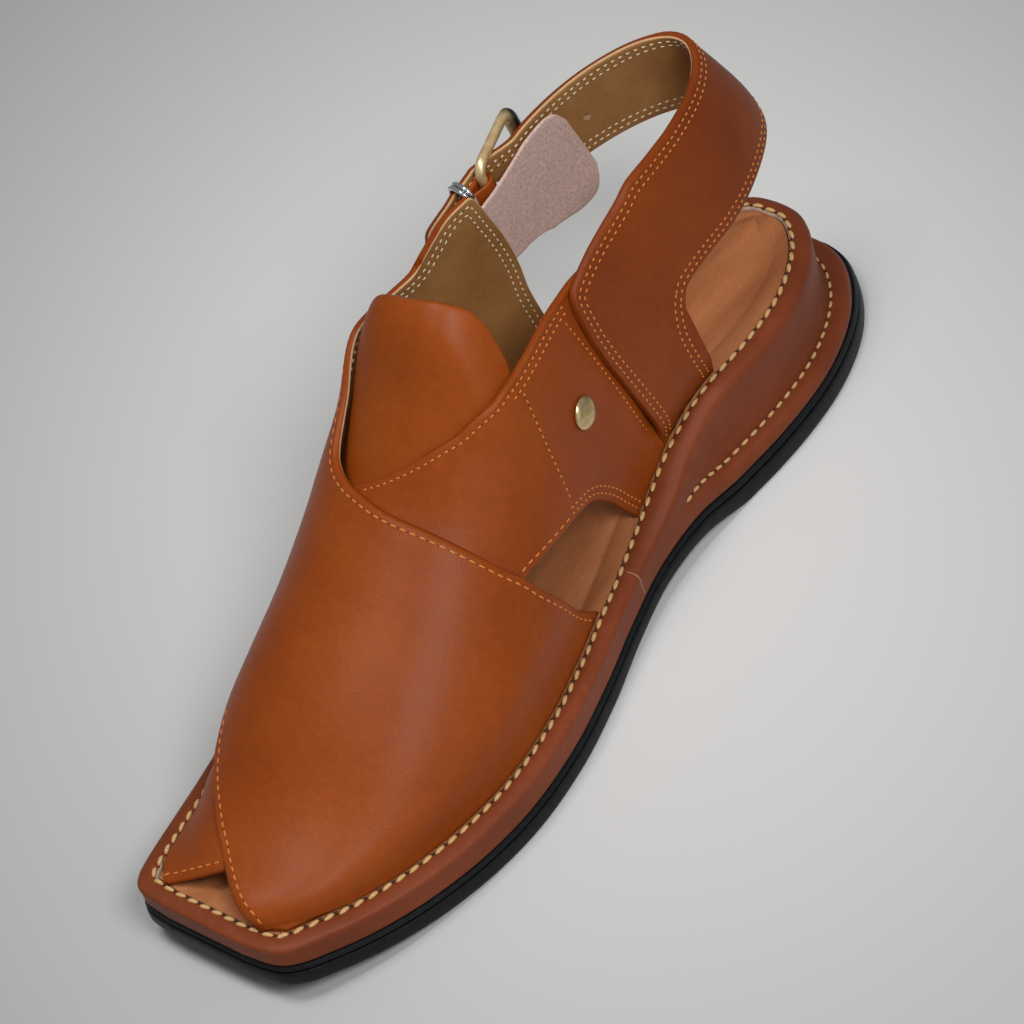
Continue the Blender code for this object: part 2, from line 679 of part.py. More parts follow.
# Tongue: plain piece on the last under the crossing
TONGUE = (
    # front along, front turn, back along, back turn
    (0.360, 38.0, 0.5100, 44.0),
    (0.352, 44.0, 0.5303, 48.3),
    (0.347, 52.0, 0.5385, 57.0),
    (0.343, 60.0, 0.5401, 64.4),
    (0.341, 68.0, 0.5368, 70.2),
    (0.340, 76.0, 0.5300, 77.5),
    (0.339, 84.0, 0.5240, 87.0),
    (0.339, 92.0, 0.5208, 96.0),
    (0.339, 100.0, 0.5190, 104.0),
    (0.340, 108.0, 0.5190, 112.0),
    (0.343, 116.0, 0.5195, 120.0),
    (0.347, 124.0, 0.5160, 127.0),
    (0.352, 131.0, 0.5050, 132.0),
    (0.360, 137.0, 0.4880, 136.5),
    (0.370, 142.0, 0.4650, 141.0),
)
tongue = panel("tongue", TONGUE, lambda along, turn: np.full_like(along, -0.25), TONGUE_TAN, columns=10)

# Heel strap: from the inner quarter round the heel to the buckle on the outer side
STRAP = (
    # low turn, low height in millimetres, top turn, top height, layers
    (-0.645, 80.0, -0.645, 88.0, 2.0),
    (-0.622, 70.5, -0.633, 92.5, 2.0),
    (-0.572, 58.4, -0.600, 95.3, 2.0),
    (-0.515, 45.0, -0.545, 96.6, 2.0),
    (-0.466, 33.0, -0.470, 98.2, 2.0),
    (-0.360, 35.0, -0.370, 100.0, 2.0),
    (-0.240, 37.0, -0.260, 101.6, 2.0),
    (-0.130, 38.0, -0.170, 102.8, 2.0),
    (-0.055, 38.5, -0.105, 103.8, 2.0),
    (-0.075, 46.0, -0.070, 104.5, 2.0),
    (-0.090, 55.3, -0.040, 105.1, 2.0),
    (-0.078, 61.5, -0.010, 105.5, 2.0),
    (-0.045, 66.5, 0.020, 105.7, 2.0),
    (0.005, 69.5, 0.050, 105.7, 2.0),
    (0.060, 70.3, 0.085, 105.7, 2.0),
    (0.120, 70.0, 0.130, 105.6, 2.0),
    (0.180, 70.2, 0.180, 105.7, 2.0),
    (0.240, 71.0, 0.240, 105.9, 2.0),
    (0.300, 71.7, 0.300, 106.3, 2.0),
    (0.370, 72.3, 0.370, 107.0, 2.0),
    (0.440, 73.3, 0.440, 108.0, 2.0),
    (0.510, 74.3, 0.510, 108.8, 2.0),
    (0.580, 75.4, 0.580, 109.3, 2.0),
    (0.650, 76.5, 0.650, 109.4, 2.1),
    (0.720, 78.5, 0.720, 109.2, 2.3),
    (0.800, 80.5, 0.800, 109.0, 2.6),
    (0.880, 82.5, 0.880, 108.8, 2.75),
    (0.960, 84.0, 0.960, 108.4, 2.8),
    (1.020, 85.2, 1.020, 107.8, 2.8),
    (1.080, 85.7, 1.080, 106.6, 3.0),
    (1.128, 85.4, 1.128, 105.9, 3.96),
    (1.234, 83.9, 1.234, 104.5, 5.02),
    (1.280, 82.9, 1.280, 103.8, 5.0),
    (1.320, 81.8, 1.320, 103.1, 4.85),
    (1.400, 80.0, 1.400, 102.4, 4.7),
    (1.480, 78.5, 1.480, 101.2, 4.3),
    (1.560, 77.5, 1.570, 99.2, 4.1),
    (1.620, 79.0, 1.630, 96.5, 4.1),
    (1.650, 83.5, 1.655, 92.0, 4.1),
)
BAND_SHARES = (0.0, 0.21, 0.42, 0.58, 0.79, 1.0)
HEIGHT_SHARE = ANKLE_HEIGHT / 118.0


def band(table, thickness):
    """Inner and outer points of a band on the wall, from the rows of its table."""
    edges = through(table, 1)
    share = np.array(BAND_SHARES)[None, :]
    turn = edges[:, 0:1] * (1 - share) + edges[:, 2:3] * share
    height = (edges[:, 1:2] * (1 - share) + edges[:, 3:4] * share) * HEIGHT_SHARE
    on_wall = turn < 0
    along = HEEL_PIVOT + 0.2 * np.minimum(turn, 0)
    foot = rim_top(along) - FOOT_DROP
    height = np.where(on_wall, np.maximum(height, foot), height)
    drop = ease(10 * MM, 0.0, height - foot) * (turn < 0.02)
    layers = edges[:, 4:5] - drop + 0 * turn
    inner, normal = wall_skin(turn, height, layers)
    on_rim = on_wall & (height < foot + 0.1 * MM)
    return footed(inner, on_rim), footed(inner + normal * thickness, on_rim)


PRONG_ROW = 30
heel_strap = sheet("heel_strap", *band(STRAP, LEATHER), STRAP_TAN, absent=[(PRONG_ROW, 2)])

# Buckle guard: thin flap between the outer quarter and the buckle
GUARD = (
    # low turn, low height in millimetres, top turn, top height, layers
    (1.490, 81.0, 1.480, 93.0, 1.96),
    (1.420, 77.0, 1.420, 97.2, 1.96),
    (1.352, 76.0, 1.352, 99.2, 1.96),
    (1.262, 75.5, 1.262, 100.8, 1.96),
    (1.200, 75.7, 1.200, 102.0, 1.96),
    (1.139, 75.7, 1.139, 103.2, 1.96),
    (1.060, 74.8, 1.060, 104.8, 1.96),
    (0.988, 72.8, 1.000, 106.1, 1.96),
    (0.938, 70.6, 0.950, 107.0, 1.92),
    (0.902, 71.0, 0.922, 106.8, 1.90),
    (0.885, 74.0, 0.902, 105.0, 1.90),
    (0.875, 80.0, 0.888, 101.0, 1.90),
)
buckle_guard = sheet("buckle_guard", *band(GUARD, GUARD_LEATHER), SUEDE)

# Buckle frame of reference: centre of its bar, rearwards, upwards and outwards
BAR_CENTRE = wall_skin(1.23, 94.6 * HEIGHT_SHARE, 9.8 * MM / LAYER)[0]
BAR_OUT = np.array([-0.990, 0.140, 0.0]) / math.hypot(0.990, 0.140)
BAR_BACK = np.array([0.139, 0.983, 0.120]) / math.sqrt(0.139 ** 2 + 0.983 ** 2 + 0.120 ** 2)
BAR_UP = np.cross(BAR_BACK, BAR_OUT)


def at_buckle(back, up, out):
    """Point from its distances behind, above and outside the bar's centre."""
    return BAR_CENTRE + back * BAR_BACK + up * BAR_UP + out * BAR_OUT


def loop(length, height, corner, steps):
    """Closed rounded rectangle in its own plane, as a list of flat points about its centre."""
    points = []
    for x, y, start in ((1, 1, 0), (-1, 1, 90), (-1, -1, 180), (1, -1, 270)):
        for k in range(steps + 1):
            angle = math.radians(start + 90 * k / steps)
            points.append((x * (length / 2 - corner) + corner * math.cos(angle),
                           y * (height / 2 - corner) + corner * math.sin(angle)))
    return points


# Buckle frame: bent wire, its front side is the bar and it tilts outwards to the rear
frame_path = []
for x, y in loop(BUCKLE_LENGTH, BUCKLE_HEIGHT, BUCKLE_CORNER, 3):
    reach = x + BUCKLE_LENGTH / 2
    frame_path.append(at_buckle(reach * math.cos(BUCKLE_TILT), y, reach * math.sin(BUCKLE_TILT)))
buckle_frame = tube("buckle_frame", frame_path, BUCKLE_WIRE, BRASS, closed=True, sides=10)

# Buckle prong: eye round the bar, then straight through the strap to rest on the rear of the frame
EYE = BUCKLE_WIRE + PRONG_WIRE + 0.1 * MM
EYE_SWEEP = 270
prong_path = []
for k in range(10):
    angle = BUCKLE_TILT + math.radians(90 + EYE_SWEEP * (9 - k) / 9)
    prong_path.append(at_buckle(EYE * math.cos(angle), 0.0, EYE * math.sin(angle)))
PRONG_SLOPE = np.array([math.cos(BUCKLE_TILT), math.sin(BUCKLE_TILT)])
PRONG_ROOT = EYE * np.array([-math.sin(BUCKLE_TILT), math.cos(BUCKLE_TILT)])
for reach in (BUCKLE_LENGTH * 0.5, BUCKLE_LENGTH + 1.2 * MM, BUCKLE_LENGTH + 1.8 * MM):
    back, out = PRONG_ROOT + PRONG_SLOPE * reach
    prong_path.append(at_buckle(back, 0.0, out))
prong_radii = [PRONG_WIRE] * (len(prong_path) - 1) + [PRONG_WIRE * 0.5]
buckle_prong = tube("buckle_prong", prong_path, prong_radii, CHROME, sides=8)

# Buckle tab: leather folded round the bar, slotted for the prong
TAB = (
    # back, out in millimetres
    (-14.0, -1.70),
    (-10.4, -0.88),
    (-7.0, -0.88),
    (-4.0, -1.55),
    (-1.8, -2.06),
    (-0.38, -2.19),
    (1.10, -1.91),
    (2.07, -0.75),
    (2.07, 0.75),
    (1.10, 1.91),
    (-0.38, 2.19),
    (-1.8, 2.06),
    (-4.0, 1.55),
    (-7.0, 0.88),
    (-10.4, 0.70),
    (-14.0, -0.15),
)
TAB_LOW = -0.0088
TAB_TOP = 0.0084
TAB_SLOT = range(3, 12)


def tab_layer(side):
    """Points of the tab's face on one side of its middle line."""
    line = np.array(TAB) * MM
    direction = np.gradient(line, axis=0)
    direction /= np.linalg.norm(direction, axis=1)[:, None]
    face = line + np.column_stack([-direction[:, 1], direction[:, 0]]) * side * TAB_LEATHER / 2
    heights = [TAB_LOW + (TAB_TOP - TAB_LOW) * share for share in BAND_SHARES]
    return np.array([[at_buckle(back, up, out) for up in heights] for back, out in face])


buckle_tab = sheet("buckle_tab", tab_layer(-1), tab_layer(1), TAB_BROWN, absent=[(row, 2) for row in TAB_SLOT])

# Keeper ring: two turns of wire round the strap's end and the tab
KEEPER_BACK = -0.0087
KEEPER_UP = -0.0021
KEEPER_OUT = 0.0020
keeper_path = []
keeper_turns = loop(8.65 * MM, 28.6 * MM, 3.0 * MM, 3) * 2
for k, (x, y) in enumerate(keeper_turns):
    back = KEEPER_BACK + (k / (len(keeper_turns) - 1) - 0.5) * 2 * (2 * KEEPER_WIRE + 0.08 * MM)
    keeper_path.append(at_buckle(back, KEEPER_UP + y, KEEPER_OUT + x))
keeper_ring = tube("keeper_ring", keeper_path, KEEPER_WIRE, KEEPER_CHROME, sides=6)

# Rivet cap: low dome on the inner quarter
RIVET_PLACE = (0.5703, 27.8)
RIVET = (
    # radius, height in shares of the rivet's radius
    (0.96, 0.03),
    (1.00, 0.08),
    (0.90, 0.21),
    (0.64, 0.35),
    (0.32, 0.43),
)


def dome(name, centre, axis, rows, radius, colour, sides=20):
    """Closed cap turned about its axis."""
    across = np.cross(axis, [0.0, 1.0, 0.0])
    across /= np.linalg.norm(across)
    along = np.cross(axis, across)
    verts = []
    for share, height in rows:
        for k in range(sides):
            angle = 2 * math.pi * k / sides
            offset = across * math.cos(angle) + along * math.sin(angle)
            verts.append(centre + (axis * height + offset * share) * radius)
    faces = [list(range(sides))]
    for r in range(len(rows) - 1):
        for k in range(sides):
            m = (k + 1) % sides
            faces.append([r * sides + k, r * sides + m, (r + 1) * sides + m, (r + 1) * sides + k])
    verts.append(centre + axis * radius * (rows[-1][1] + 0.02))
    base = (len(rows) - 1) * sides
    faces += [[base + k, base + (k + 1) % sides, len(verts) - 1] for k in range(sides)]
    return mesh_object(name, verts, faces, colour)


rivet_seat, rivet_axis = skin(RIVET_PLACE[0], RIVET_PLACE[1], 1 + (LEATHER + 0.3 * MM) / LAYER)
rivet_cap = dome("rivet_cap", rivet_seat, rivet_axis, RIVET, RIVET_RADIUS, RIVET_BRASS)
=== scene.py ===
"""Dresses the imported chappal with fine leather, stitching, fittings, materials, light and a camera."""
import math

import bmesh
import bpy
import numpy as np
from mathutils import Matrix


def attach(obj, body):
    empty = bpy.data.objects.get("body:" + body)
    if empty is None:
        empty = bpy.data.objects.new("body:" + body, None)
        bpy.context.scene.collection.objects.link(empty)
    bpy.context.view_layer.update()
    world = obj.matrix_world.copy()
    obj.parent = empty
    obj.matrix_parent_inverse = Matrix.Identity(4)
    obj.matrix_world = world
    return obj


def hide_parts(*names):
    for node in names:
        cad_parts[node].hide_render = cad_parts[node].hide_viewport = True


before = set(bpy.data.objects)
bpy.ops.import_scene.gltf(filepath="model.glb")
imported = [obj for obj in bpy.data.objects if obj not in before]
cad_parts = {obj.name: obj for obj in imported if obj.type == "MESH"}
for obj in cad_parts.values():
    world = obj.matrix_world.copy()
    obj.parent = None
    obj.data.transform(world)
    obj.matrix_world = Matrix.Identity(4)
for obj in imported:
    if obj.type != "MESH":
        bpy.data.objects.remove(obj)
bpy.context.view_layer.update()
FINE = 6

MM = 0.001

# Driving sizes of the sole
SOLE_LENGTH = 0.292
BALL_WIDTH = 0.104
TOE_SPRING = 0.0083
ARCH_RISE = 0.0045
RUBBER = 0.0072
HEEL_RUBBER = 0.0090
LUG_DEPTH = 0.0012

# Driving sizes of the leather platform
RIM_HEIGHT = 0.0170
TOE_RIM_HEIGHT = 0.0232
HEEL_RIM_HEIGHT = 0.0380
RIM_SETBACK = 0.0047
HEEL_SIDE_SETBACK = 0.0097
HEEL_BACK_SETBACK = 0.0165
LIP_WIDTH = 0.0020
LIP_DEPTH = 0.0024

# Driving sizes of the upper
LEATHER = 0.0024
GAP = 0.0003
ANKLE_HEIGHT = 0.1180
OUTER_LEAN = 0.25
RIVET_RADIUS = 0.0049

# Driving sizes of the buckle
BUCKLE_LENGTH = 0.0214
BUCKLE_HEIGHT = 0.0258
BUCKLE_CORNER = 0.0036
BUCKLE_WIRE = 0.00135
BUCKLE_TILT = math.radians(21.6)
PRONG_WIRE = 0.00085
KEEPER_WIRE = 0.0007
TAB_LEATHER = 0.0012
GUARD_LEATHER = 0.0012

# The last stands inside the lip by two layers of leather
LAYER = LEATHER + GAP
LAST_SETBACK = LIP_WIDTH + GAP + LEATHER + LAYER

# Plan of the sole, along from the toe in shares of the length, across in shares of the ball width
OUTLINE = (
    # along, medial, lateral
    (0.000, 0.140, -0.130),
    (0.005, 0.238, -0.222),
    (0.018, 0.290, -0.262),
    (0.045, 0.335, -0.290),
    (0.090, 0.395, -0.325),
    (0.150, 0.450, -0.365),
    (0.215, 0.487, -0.408),
    (0.285, 0.500, -0.450),
    (0.360, 0.477, -0.483),
    (0.430, 0.428, -0.488),
    (0.500, 0.372, -0.465),
    (0.565, 0.335, -0.425),
    (0.630, 0.324, -0.385),
    (0.690, 0.332, -0.358),
    (0.745, 0.345, -0.348),
    (0.795, 0.347, -0.345),
    (0.845, 0.335, -0.332),
    (0.890, 0.305, -0.303),
    (0.930, 0.258, -0.257),
    (0.965, 0.190, -0.190),
    (0.990, 0.105, -0.105),
    (1.000, 0.000, 0.000),
)

# Heights along the sole, each in shares of its own named size
LEVELS = (
    # along, toe spring, arch, toe rim, heel rim, heel rubber
    (0.00, 1.00, 0.00, 1.00, 0.00, 0.00),
    (0.04, 0.70, 0.00, 0.80, 0.00, 0.00),
    (0.09, 0.42, 0.00, 0.45, 0.00, 0.00),
    (0.15, 0.18, 0.00, 0.18, 0.00, 0.00),
    (0.22, 0.03, 0.00, 0.03, 0.00, 0.00),
    (0.26, 0.00, 0.00, 0.00, 0.00, 0.00),
    (0.42, 0.00, 0.00, 0.00, 0.01, 0.00),
    (0.51, 0.00, 0.50, 0.00, 0.10, -0.50),
    (0.57, 0.00, 0.92, 0.00, 0.24, -0.60),
    (0.61, 0.00, 1.00, 0.00, 0.43, -0.50),
    (0.64, 0.00, 0.85, 0.00, 0.61, -0.10),
    (0.67, 0.00, 0.40, 0.00, 0.76, 0.40),
    (0.70, 0.00, 0.00, 0.00, 0.90, 0.90),
    (0.74, 0.00, 0.00, 0.00, 1.00, 1.00),
    (1.00, 0.00, 0.00, 0.00, 1.00, 1.00),
)

# Last under the upper: ridge across in ball widths, ridge height in ankle heights, roundness of each side
LAST = (
    # along, ridge across, ridge height, medial round, lateral round
    (0.030, 0.000, 0.200, 2.0, 2.0),
    (0.075, 0.000, 0.212, 2.0, 2.0),
    (0.100, 0.000, 0.232, 2.0, 2.0),
    (0.150, 0.000, 0.295, 2.0, 2.0),
    (0.220, -0.010, 0.396, 2.0, 2.1),
    (0.320, -0.030, 0.522, 2.0, 2.0),
    (0.395, -0.045, 0.625, 2.0, 2.25),
    (0.457, -0.055, 0.775, 2.1, 3.0),
    (0.509, -0.060, 0.960, 2.1, 3.4),
    (0.560, -0.062, 1.020, 2.0, 3.8),
    (0.640, -0.062, 1.085, 1.55, 4.2),
    (0.760, -0.062, 1.085, 1.50, 4.5),
)

# Rear reach of the heel strap by height
HEEL_PIVOT = 0.748
HEEL_REACH = (
    # height in ankle heights, along
    (0.32, 0.913),
    (0.59, 0.941),
    (0.92, 0.899),
)


def profile(table, column, along):
    """Smooth curve through one column of a table, without overshoot."""
    xs = np.array([row[0] for row in table])
    ys = np.array([row[column] for row in table])
    steps = np.diff(xs)
    rise = np.diff(ys) / steps
    slope = np.zeros(len(xs))
    for i in range(1, len(xs) - 1):
        if rise[i - 1] * rise[i] > 0:
            slope[i] = 2 * rise[i - 1] * rise[i] / (rise[i - 1] + rise[i])
    slope[0] = rise[0]
    slope[-1] = rise[-1]
    at = np.clip(np.asarray(along, float), xs[0], xs[-1])
    k = np.clip(np.searchsorted(xs, at, side="right") - 1, 0, len(steps) - 1)
    t = (at - xs[k]) / steps[k]
    low = ys[k] * (1 + 2 * t) * (1 - t) ** 2 + slope[k] * steps[k] * t * (1 - t) ** 2
    high = ys[k + 1] * t * t * (3 - 2 * t) - slope[k + 1] * steps[k] * t * t * (1 - t)
    return low + high


def ease(low, high, value):
    """Smooth step from 0 at low to 1 at high."""
    t = np.clip((np.asarray(value, float) - low) / (high - low), 0, 1)
    return t * t * (3 - 2 * t)


def through(rows, count):
    """Catmull-Rom curve through table rows, with count steps in every interval."""
    pts = np.array(rows, float)
    ends = np.vstack([2 * pts[0] - pts[1], pts, 2 * pts[-1] - pts[-2]])
    out = []
    for i in range(len(pts) - 1):
        a, b, c, d = ends[i:i + 4]
        for step in range(count):
            t = step / count
            out.append(0.5 * (2 * b + (c - a) * t + (2 * a - 5 * b + 4 * c - d) * t ** 2
                              + (3 * b - a - 3 * c + d) * t ** 3))
    out.append(pts[-1])
    return np.array(out)


def unit(vectors):
    """Vectors scaled to length one."""
    return vectors / np.linalg.norm(vectors, axis=-1, keepdims=True)


def arc_of(points):
    """Length along a line of points, from its start to each of them."""
    return np.concatenate([[0], np.cumsum(np.linalg.norm(np.diff(points, axis=0), axis=1))])


def length_at(along):
    """Place along the shoe in metres, toe at the negative end."""
    return (np.asarray(along, float) - 0.5) * SOLE_LENGTH


# Sole outline: medial side from toe to heel, then the lateral side back to the toe
PLAN = through(OUTLINE, FINE)
PLAN_ROWS = len(PLAN)
RING_ALONG = np.concatenate([PLAN[:, 0], PLAN[-2::-1, 0]])
RING_ACROSS = np.concatenate([PLAN[:, 1], PLAN[-2::-1, 2]]) * BALL_WIDTH
RING_XY = np.column_stack([RING_ACROSS, length_at(RING_ALONG)])


def inward(ring):
    """Unit normals pointing into a closed plan ring."""
    tangent = unit(np.roll(ring, -1, axis=0) - np.roll(ring, 1, axis=0))
    return np.column_stack([-tangent[:, 1], tangent[:, 0]])


def softened(normals, reach=0.0055):
    """Normals averaged along the ring behind the heel, so that inner rings keep their order."""
    steps = np.linalg.norm(np.roll(RING_XY, -1, axis=0) - RING_XY, axis=1)
    arc = np.cumsum(steps) - steps
    average = unit((np.exp(-((arc[:, None] - arc) / reach) ** 2) * steps) @ normals)
    share = ease(0.86, 0.93, RING_ALONG)[:, None]
    return unit(normals * (1 - share) + average * share)


RING_IN = softened(inward(RING_XY))
HEEL_EASE = ease(0.93, 0.965, RING_ALONG)[:, None]
RING_BACK = np.clip(-RING_IN[:, 1], 0, 1) ** 1.5 * ease(0.75, 0.9, RING_ALONG)
RING_HEEL = ease(0.60, 0.71, RING_ALONG)
HEEL_SETBACK = HEEL_SIDE_SETBACK + (HEEL_BACK_SETBACK - HEEL_SIDE_SETBACK) * RING_BACK
SETBACK = RIM_SETBACK + (HEEL_SETBACK - RIM_SETBACK) * ease(0.50, 0.71, RING_ALONG)


def ground(along):
    """Underside of the rubber."""
    return TOE_SPRING * profile(LEVELS, 1, along) + ARCH_RISE * profile(LEVELS, 2, along)


def rubber_top(along):
    """Top of the rubber."""
    return ground(along) + RUBBER + (HEEL_RUBBER - RUBBER) * profile(LEVELS, 5, along)


def rim_top(along):
    """Top of the rolled leather rim."""
    toe = (TOE_RIM_HEIGHT - RIM_HEIGHT) * profile(LEVELS, 3, along)
    return RIM_HEIGHT + toe + (HEEL_RIM_HEIGHT - RIM_HEIGHT) * profile(LEVELS, 4, along)


def ring_at(inset, height):
    """Ring of points set in from the outline; height is a function of the place along."""
    xy = RING_XY + RING_IN * np.reshape(inset, (-1, 1))
    step = 0.5 * MM / FINE
    last = len(xy) - 1
    for i in range(1, 5 * FINE):
        xy[i, 1] = max(xy[i, 1], xy[i - 1, 1] + step)
        xy[last - i, 1] = max(xy[last - i, 1], xy[last - i + 1, 1] + step)
    for _ in range(10):
        smooth = (np.roll(xy, 1, axis=0) + 2 * xy + np.roll(xy, -1, axis=0)) / 4
        xy = xy * (1 - HEEL_EASE) + HEEL_EASE * smooth
    z = height(xy[:, 1] / SOLE_LENGTH + 0.5)
    return np.column_stack([xy, z])


def deck(ring, base, count, columns, lift, flip):
    """Grid faces across a ring from its medial to its lateral side; returns new points and faces."""
    points = []
    index = []
    for i in range(PLAN_ROWS - 1):
        near, far = i, len(ring) - 1 - i
        row = [base + near]
        for share in np.arange(1, columns if i else 1) / columns:
            points.append(ring[near] * (1 - share) + ring[far] * share + np.array([0, 0, lift(i, share)]))
            row.append(count + len(points) - 1)
        index.append(row + [base + far])
    heel = base + PLAN_ROWS - 1
    faces = [index[0] + index[1][::-1]]
    for row, after in zip(index[1:-1], index[2:]):
        faces += [[row[c], row[c + 1], after[c + 1], after[c]] for c in range(columns)]
    faces += [[index[-1][c], index[-1][c + 1], heel] for c in range(columns)]
    return points, [face[::-1] for face in faces] if flip else faces


def last_base(along):
    """Medial and lateral foot lines of the last at places along the shoe."""
    xy = RING_XY + RING_IN * (SETBACK + LAST_SETBACK)[:, None]
    sides = []
    for side in (xy[:PLAN_ROWS], xy[:PLAN_ROWS - 2:-1]):
        keep = np.concatenate([[True], np.diff(np.maximum.accumulate(side[:, 1])) > 1e-6])
        sides.append(np.interp(length_at(along), side[keep, 1], side[keep, 0]))
    return sides


FOOT_DROP = 0.0006


def last_point(along, turn):
    """Point of the last; turn is 0 at the medial rim, 90 at the ridge and 180 at the lateral rim."""
    along = np.asarray(along, float)
    angle = np.radians(np.asarray(turn, float))
    medial, lateral = last_base(along)
    ridge = profile(LAST, 1, along) * BALL_WIDTH
    foot = rim_top(along) - FOOT_DROP
    height = np.maximum(profile(LAST, 2, along) * ANKLE_HEIGHT - foot, 0.5 * MM)
    round_power = np.where(angle < math.pi / 2, profile(LAST, 3, along), profile(LAST, 4, along))
    cos = np.abs(np.cos(angle))
    sin = np.abs(np.sin(angle))
    reach = (cos ** round_power + sin ** round_power) ** (-1 / round_power)
    lean = 1 + OUTER_LEAN * ease(0.50, 0.62, along) * sin * reach
    side = np.where(angle < math.pi / 2, medial - ridge, (lateral - ridge) * lean)
    return np.stack([ridge + side * cos * reach, length_at(along), foot + height * sin * reach], -1)


def skin(along, turn, layers):
    """Point on the last raised by a number of leather layers along its normal."""
    along, turn = np.asarray(along, float), np.asarray(turn, float)
    here = last_point(along, turn)
    ahead = last_point(along + 0.002, turn) - last_point(along - 0.002, turn)
    around = last_point(along, np.clip(turn + 1, 0, 180)) - last_point(along, np.clip(turn - 1, 0, 180))
    normal = unit(np.cross(ahead, around))
    across = here[..., 0] - profile(LAST, 1, along) * BALL_WIDTH
    outward = np.stack([across, 0 * across, here[..., 2]], -1)
    normal *= np.sign(np.sum(normal * outward, -1))[..., None]
    return here + normal * (np.asarray(layers) * LAYER)[..., None], normal


def wall_point(turn, height):
    """Point of the walls and heel; turn 0 to 1 goes round the heel, less is medial, more is lateral."""
    turn = np.asarray(turn, float)
    height = np.asarray(height, float)
    along = HEEL_PIVOT - 0.2 * np.maximum(np.maximum(-turn, turn - 1), 0)
    medial, lateral = last_base(along)
    ridge = profile(LAST, 1, along) * BALL_WIDTH
    foot = rim_top(along) - FOOT_DROP
    share = np.clip((height - foot) / (profile(LAST, 2, along) * ANKLE_HEIGHT - foot), 0, 0.98)
    near = profile(LAST, 3, along)
    far = profile(LAST, 4, along)
    inner = ridge + (medial - ridge) * (1 - share ** near) ** (1 / near)
    lean = 1 + OUTER_LEAN * ease(0.50, 0.62, along) * share
    outer = ridge + (lateral - ridge) * lean * (1 - share ** far) ** (1 / far)
    angle = np.clip(turn, 0, 1) * math.pi
    reach = (profile(HEEL_REACH, 1, height / ANKLE_HEIGHT) - HEEL_PIVOT) * SOLE_LENGTH
    middle = (inner + outer) / 2
    return np.stack([middle + (inner - outer) / 2 * np.cos(angle),
                     length_at(along) + reach * np.sin(angle), height], -1)


def wall_skin(turn, height, layers):
    """Wall point raised by leather layers, with its outward normal."""
    turn, height = np.asarray(turn, float), np.asarray(height, float)
    around = wall_point(turn + 0.01, height) - wall_point(turn - 0.01, height)
    normal = unit(np.cross(around, wall_point(turn, height + MM) - wall_point(turn, height - MM)))
    return wall_point(turn, height) + normal * (np.asarray(layers) * LAYER)[..., None], normal


RUBBER_SIDE = (
    # inset, share of the height
    (0.0007, 0.00),
    (0.0000, 0.10),
    (0.0002, 0.62),
    (0.0011, 0.67),
    (0.0011, 0.76),
    (0.0003, 0.81),
    (0.0010, 1.00),
)


def rubber_level(share):
    """Height function at a share of the rubber's thickness."""
    return lambda along: ground(along) * (1 - share) + rubber_top(along) * share


WALL_INSET = 0.0006 + (HEEL_SETBACK - 0.0045 - 0.0006) * RING_HEEL
LEDGE_INSET = 0.0008 + 0.0022 * RING_BACK
GROOVE_INSET = 0.0008 + (0.0036 + 0.0058 * RING_BACK) * RING_HEEL


def platform(forefoot, heel):
    """Height function: share of the platform in front, millimetres from rubber or rim at the heel."""
    def level(along):
        base = rubber_top(along) + GAP
        rim = rim_top(along)
        rear = base + heel * MM if heel >= 0 else rim + heel * MM
        front = base + (rim - base) * forefoot
        return front + (rear - front) * ease(0.60, 0.71, along)
    return level


def below_rim(drop):
    """Height function at a drop below the rim."""
    return lambda along: rim_top(along) - drop


MARGIN = 0.0012
PAD_EDGE = SETBACK + LAST_SETBACK + 0.0018 - 0.0060 * RING_BACK
PAD_HEIGHT = 0.0016


def pad_crown(row, share):
    """Gentle rise of the pad towards its middle."""
    ends = min(1.0, row / (2 * FINE), (PLAN_ROWS - 1 - row) / (2 * FINE))
    return PAD_HEIGHT * math.sin(math.pi * share) ** 0.8 * ends


NEAR_PANEL = (
    # front along, front turn, back along, back turn
    (0.0399, 0.0, 0.4735, 0.0),
    (0.0399, 5.0, 0.4570, 5.6),
    (0.0401, 11.4, 0.4405, 13.4),
    (0.0404, 20.0, 0.4216, 25.4),
    (0.0407, 29.0, 0.4128, 34.2),
    (0.0411, 40.0, 0.4033, 43.0),
    (0.0420, 56.0, 0.3957, 53.4),
    (0.0450, 73.0, 0.3907, 63.8),
    (0.0525, 83.5, 0.3867, 74.5),
    (0.0614, 91.7, 0.3859, 84.3),
    (0.0740, 100.5, 0.3903, 94.4),
    (0.0866, 108.6, 0.3976, 103.8),
    (0.1077, 120.5, 0.4102, 113.0),
    (0.1307, 131.1, 0.4250, 119.5),
    (0.1500, 137.0, 0.4504, 124.5),
    (0.1800, 142.0, 0.4800, 129.5),
    (0.2300, 145.5, 0.5100, 134.0),
    (0.2900, 147.5, 0.5400, 138.0),
    (0.3500, 148.5, 0.5750, 141.0),
    (0.3900, 149.0, 0.5926, 141.5),
    (0.4200, 149.5, 0.6106, 140.5),
    (0.4478, 152.6, 0.6314, 139.0),
    (0.4700, 156.0, 0.6504, 138.5),
    (0.4900, 159.5, 0.6640, 139.0),
    (0.5113, 162.2, 0.6740, 144.0),
    (0.5250, 164.0, 0.6840, 150.5),
    (0.5400, 166.5, 0.6880, 156.0),
    (0.5572, 170.6, 0.6880, 162.0),
    (0.5700, 175.0, 0.6940, 170.0),
    (0.5780, 178.0, 0.7020, 175.5),
    (0.5800, 180.0, 0.7080, 180.0),
)
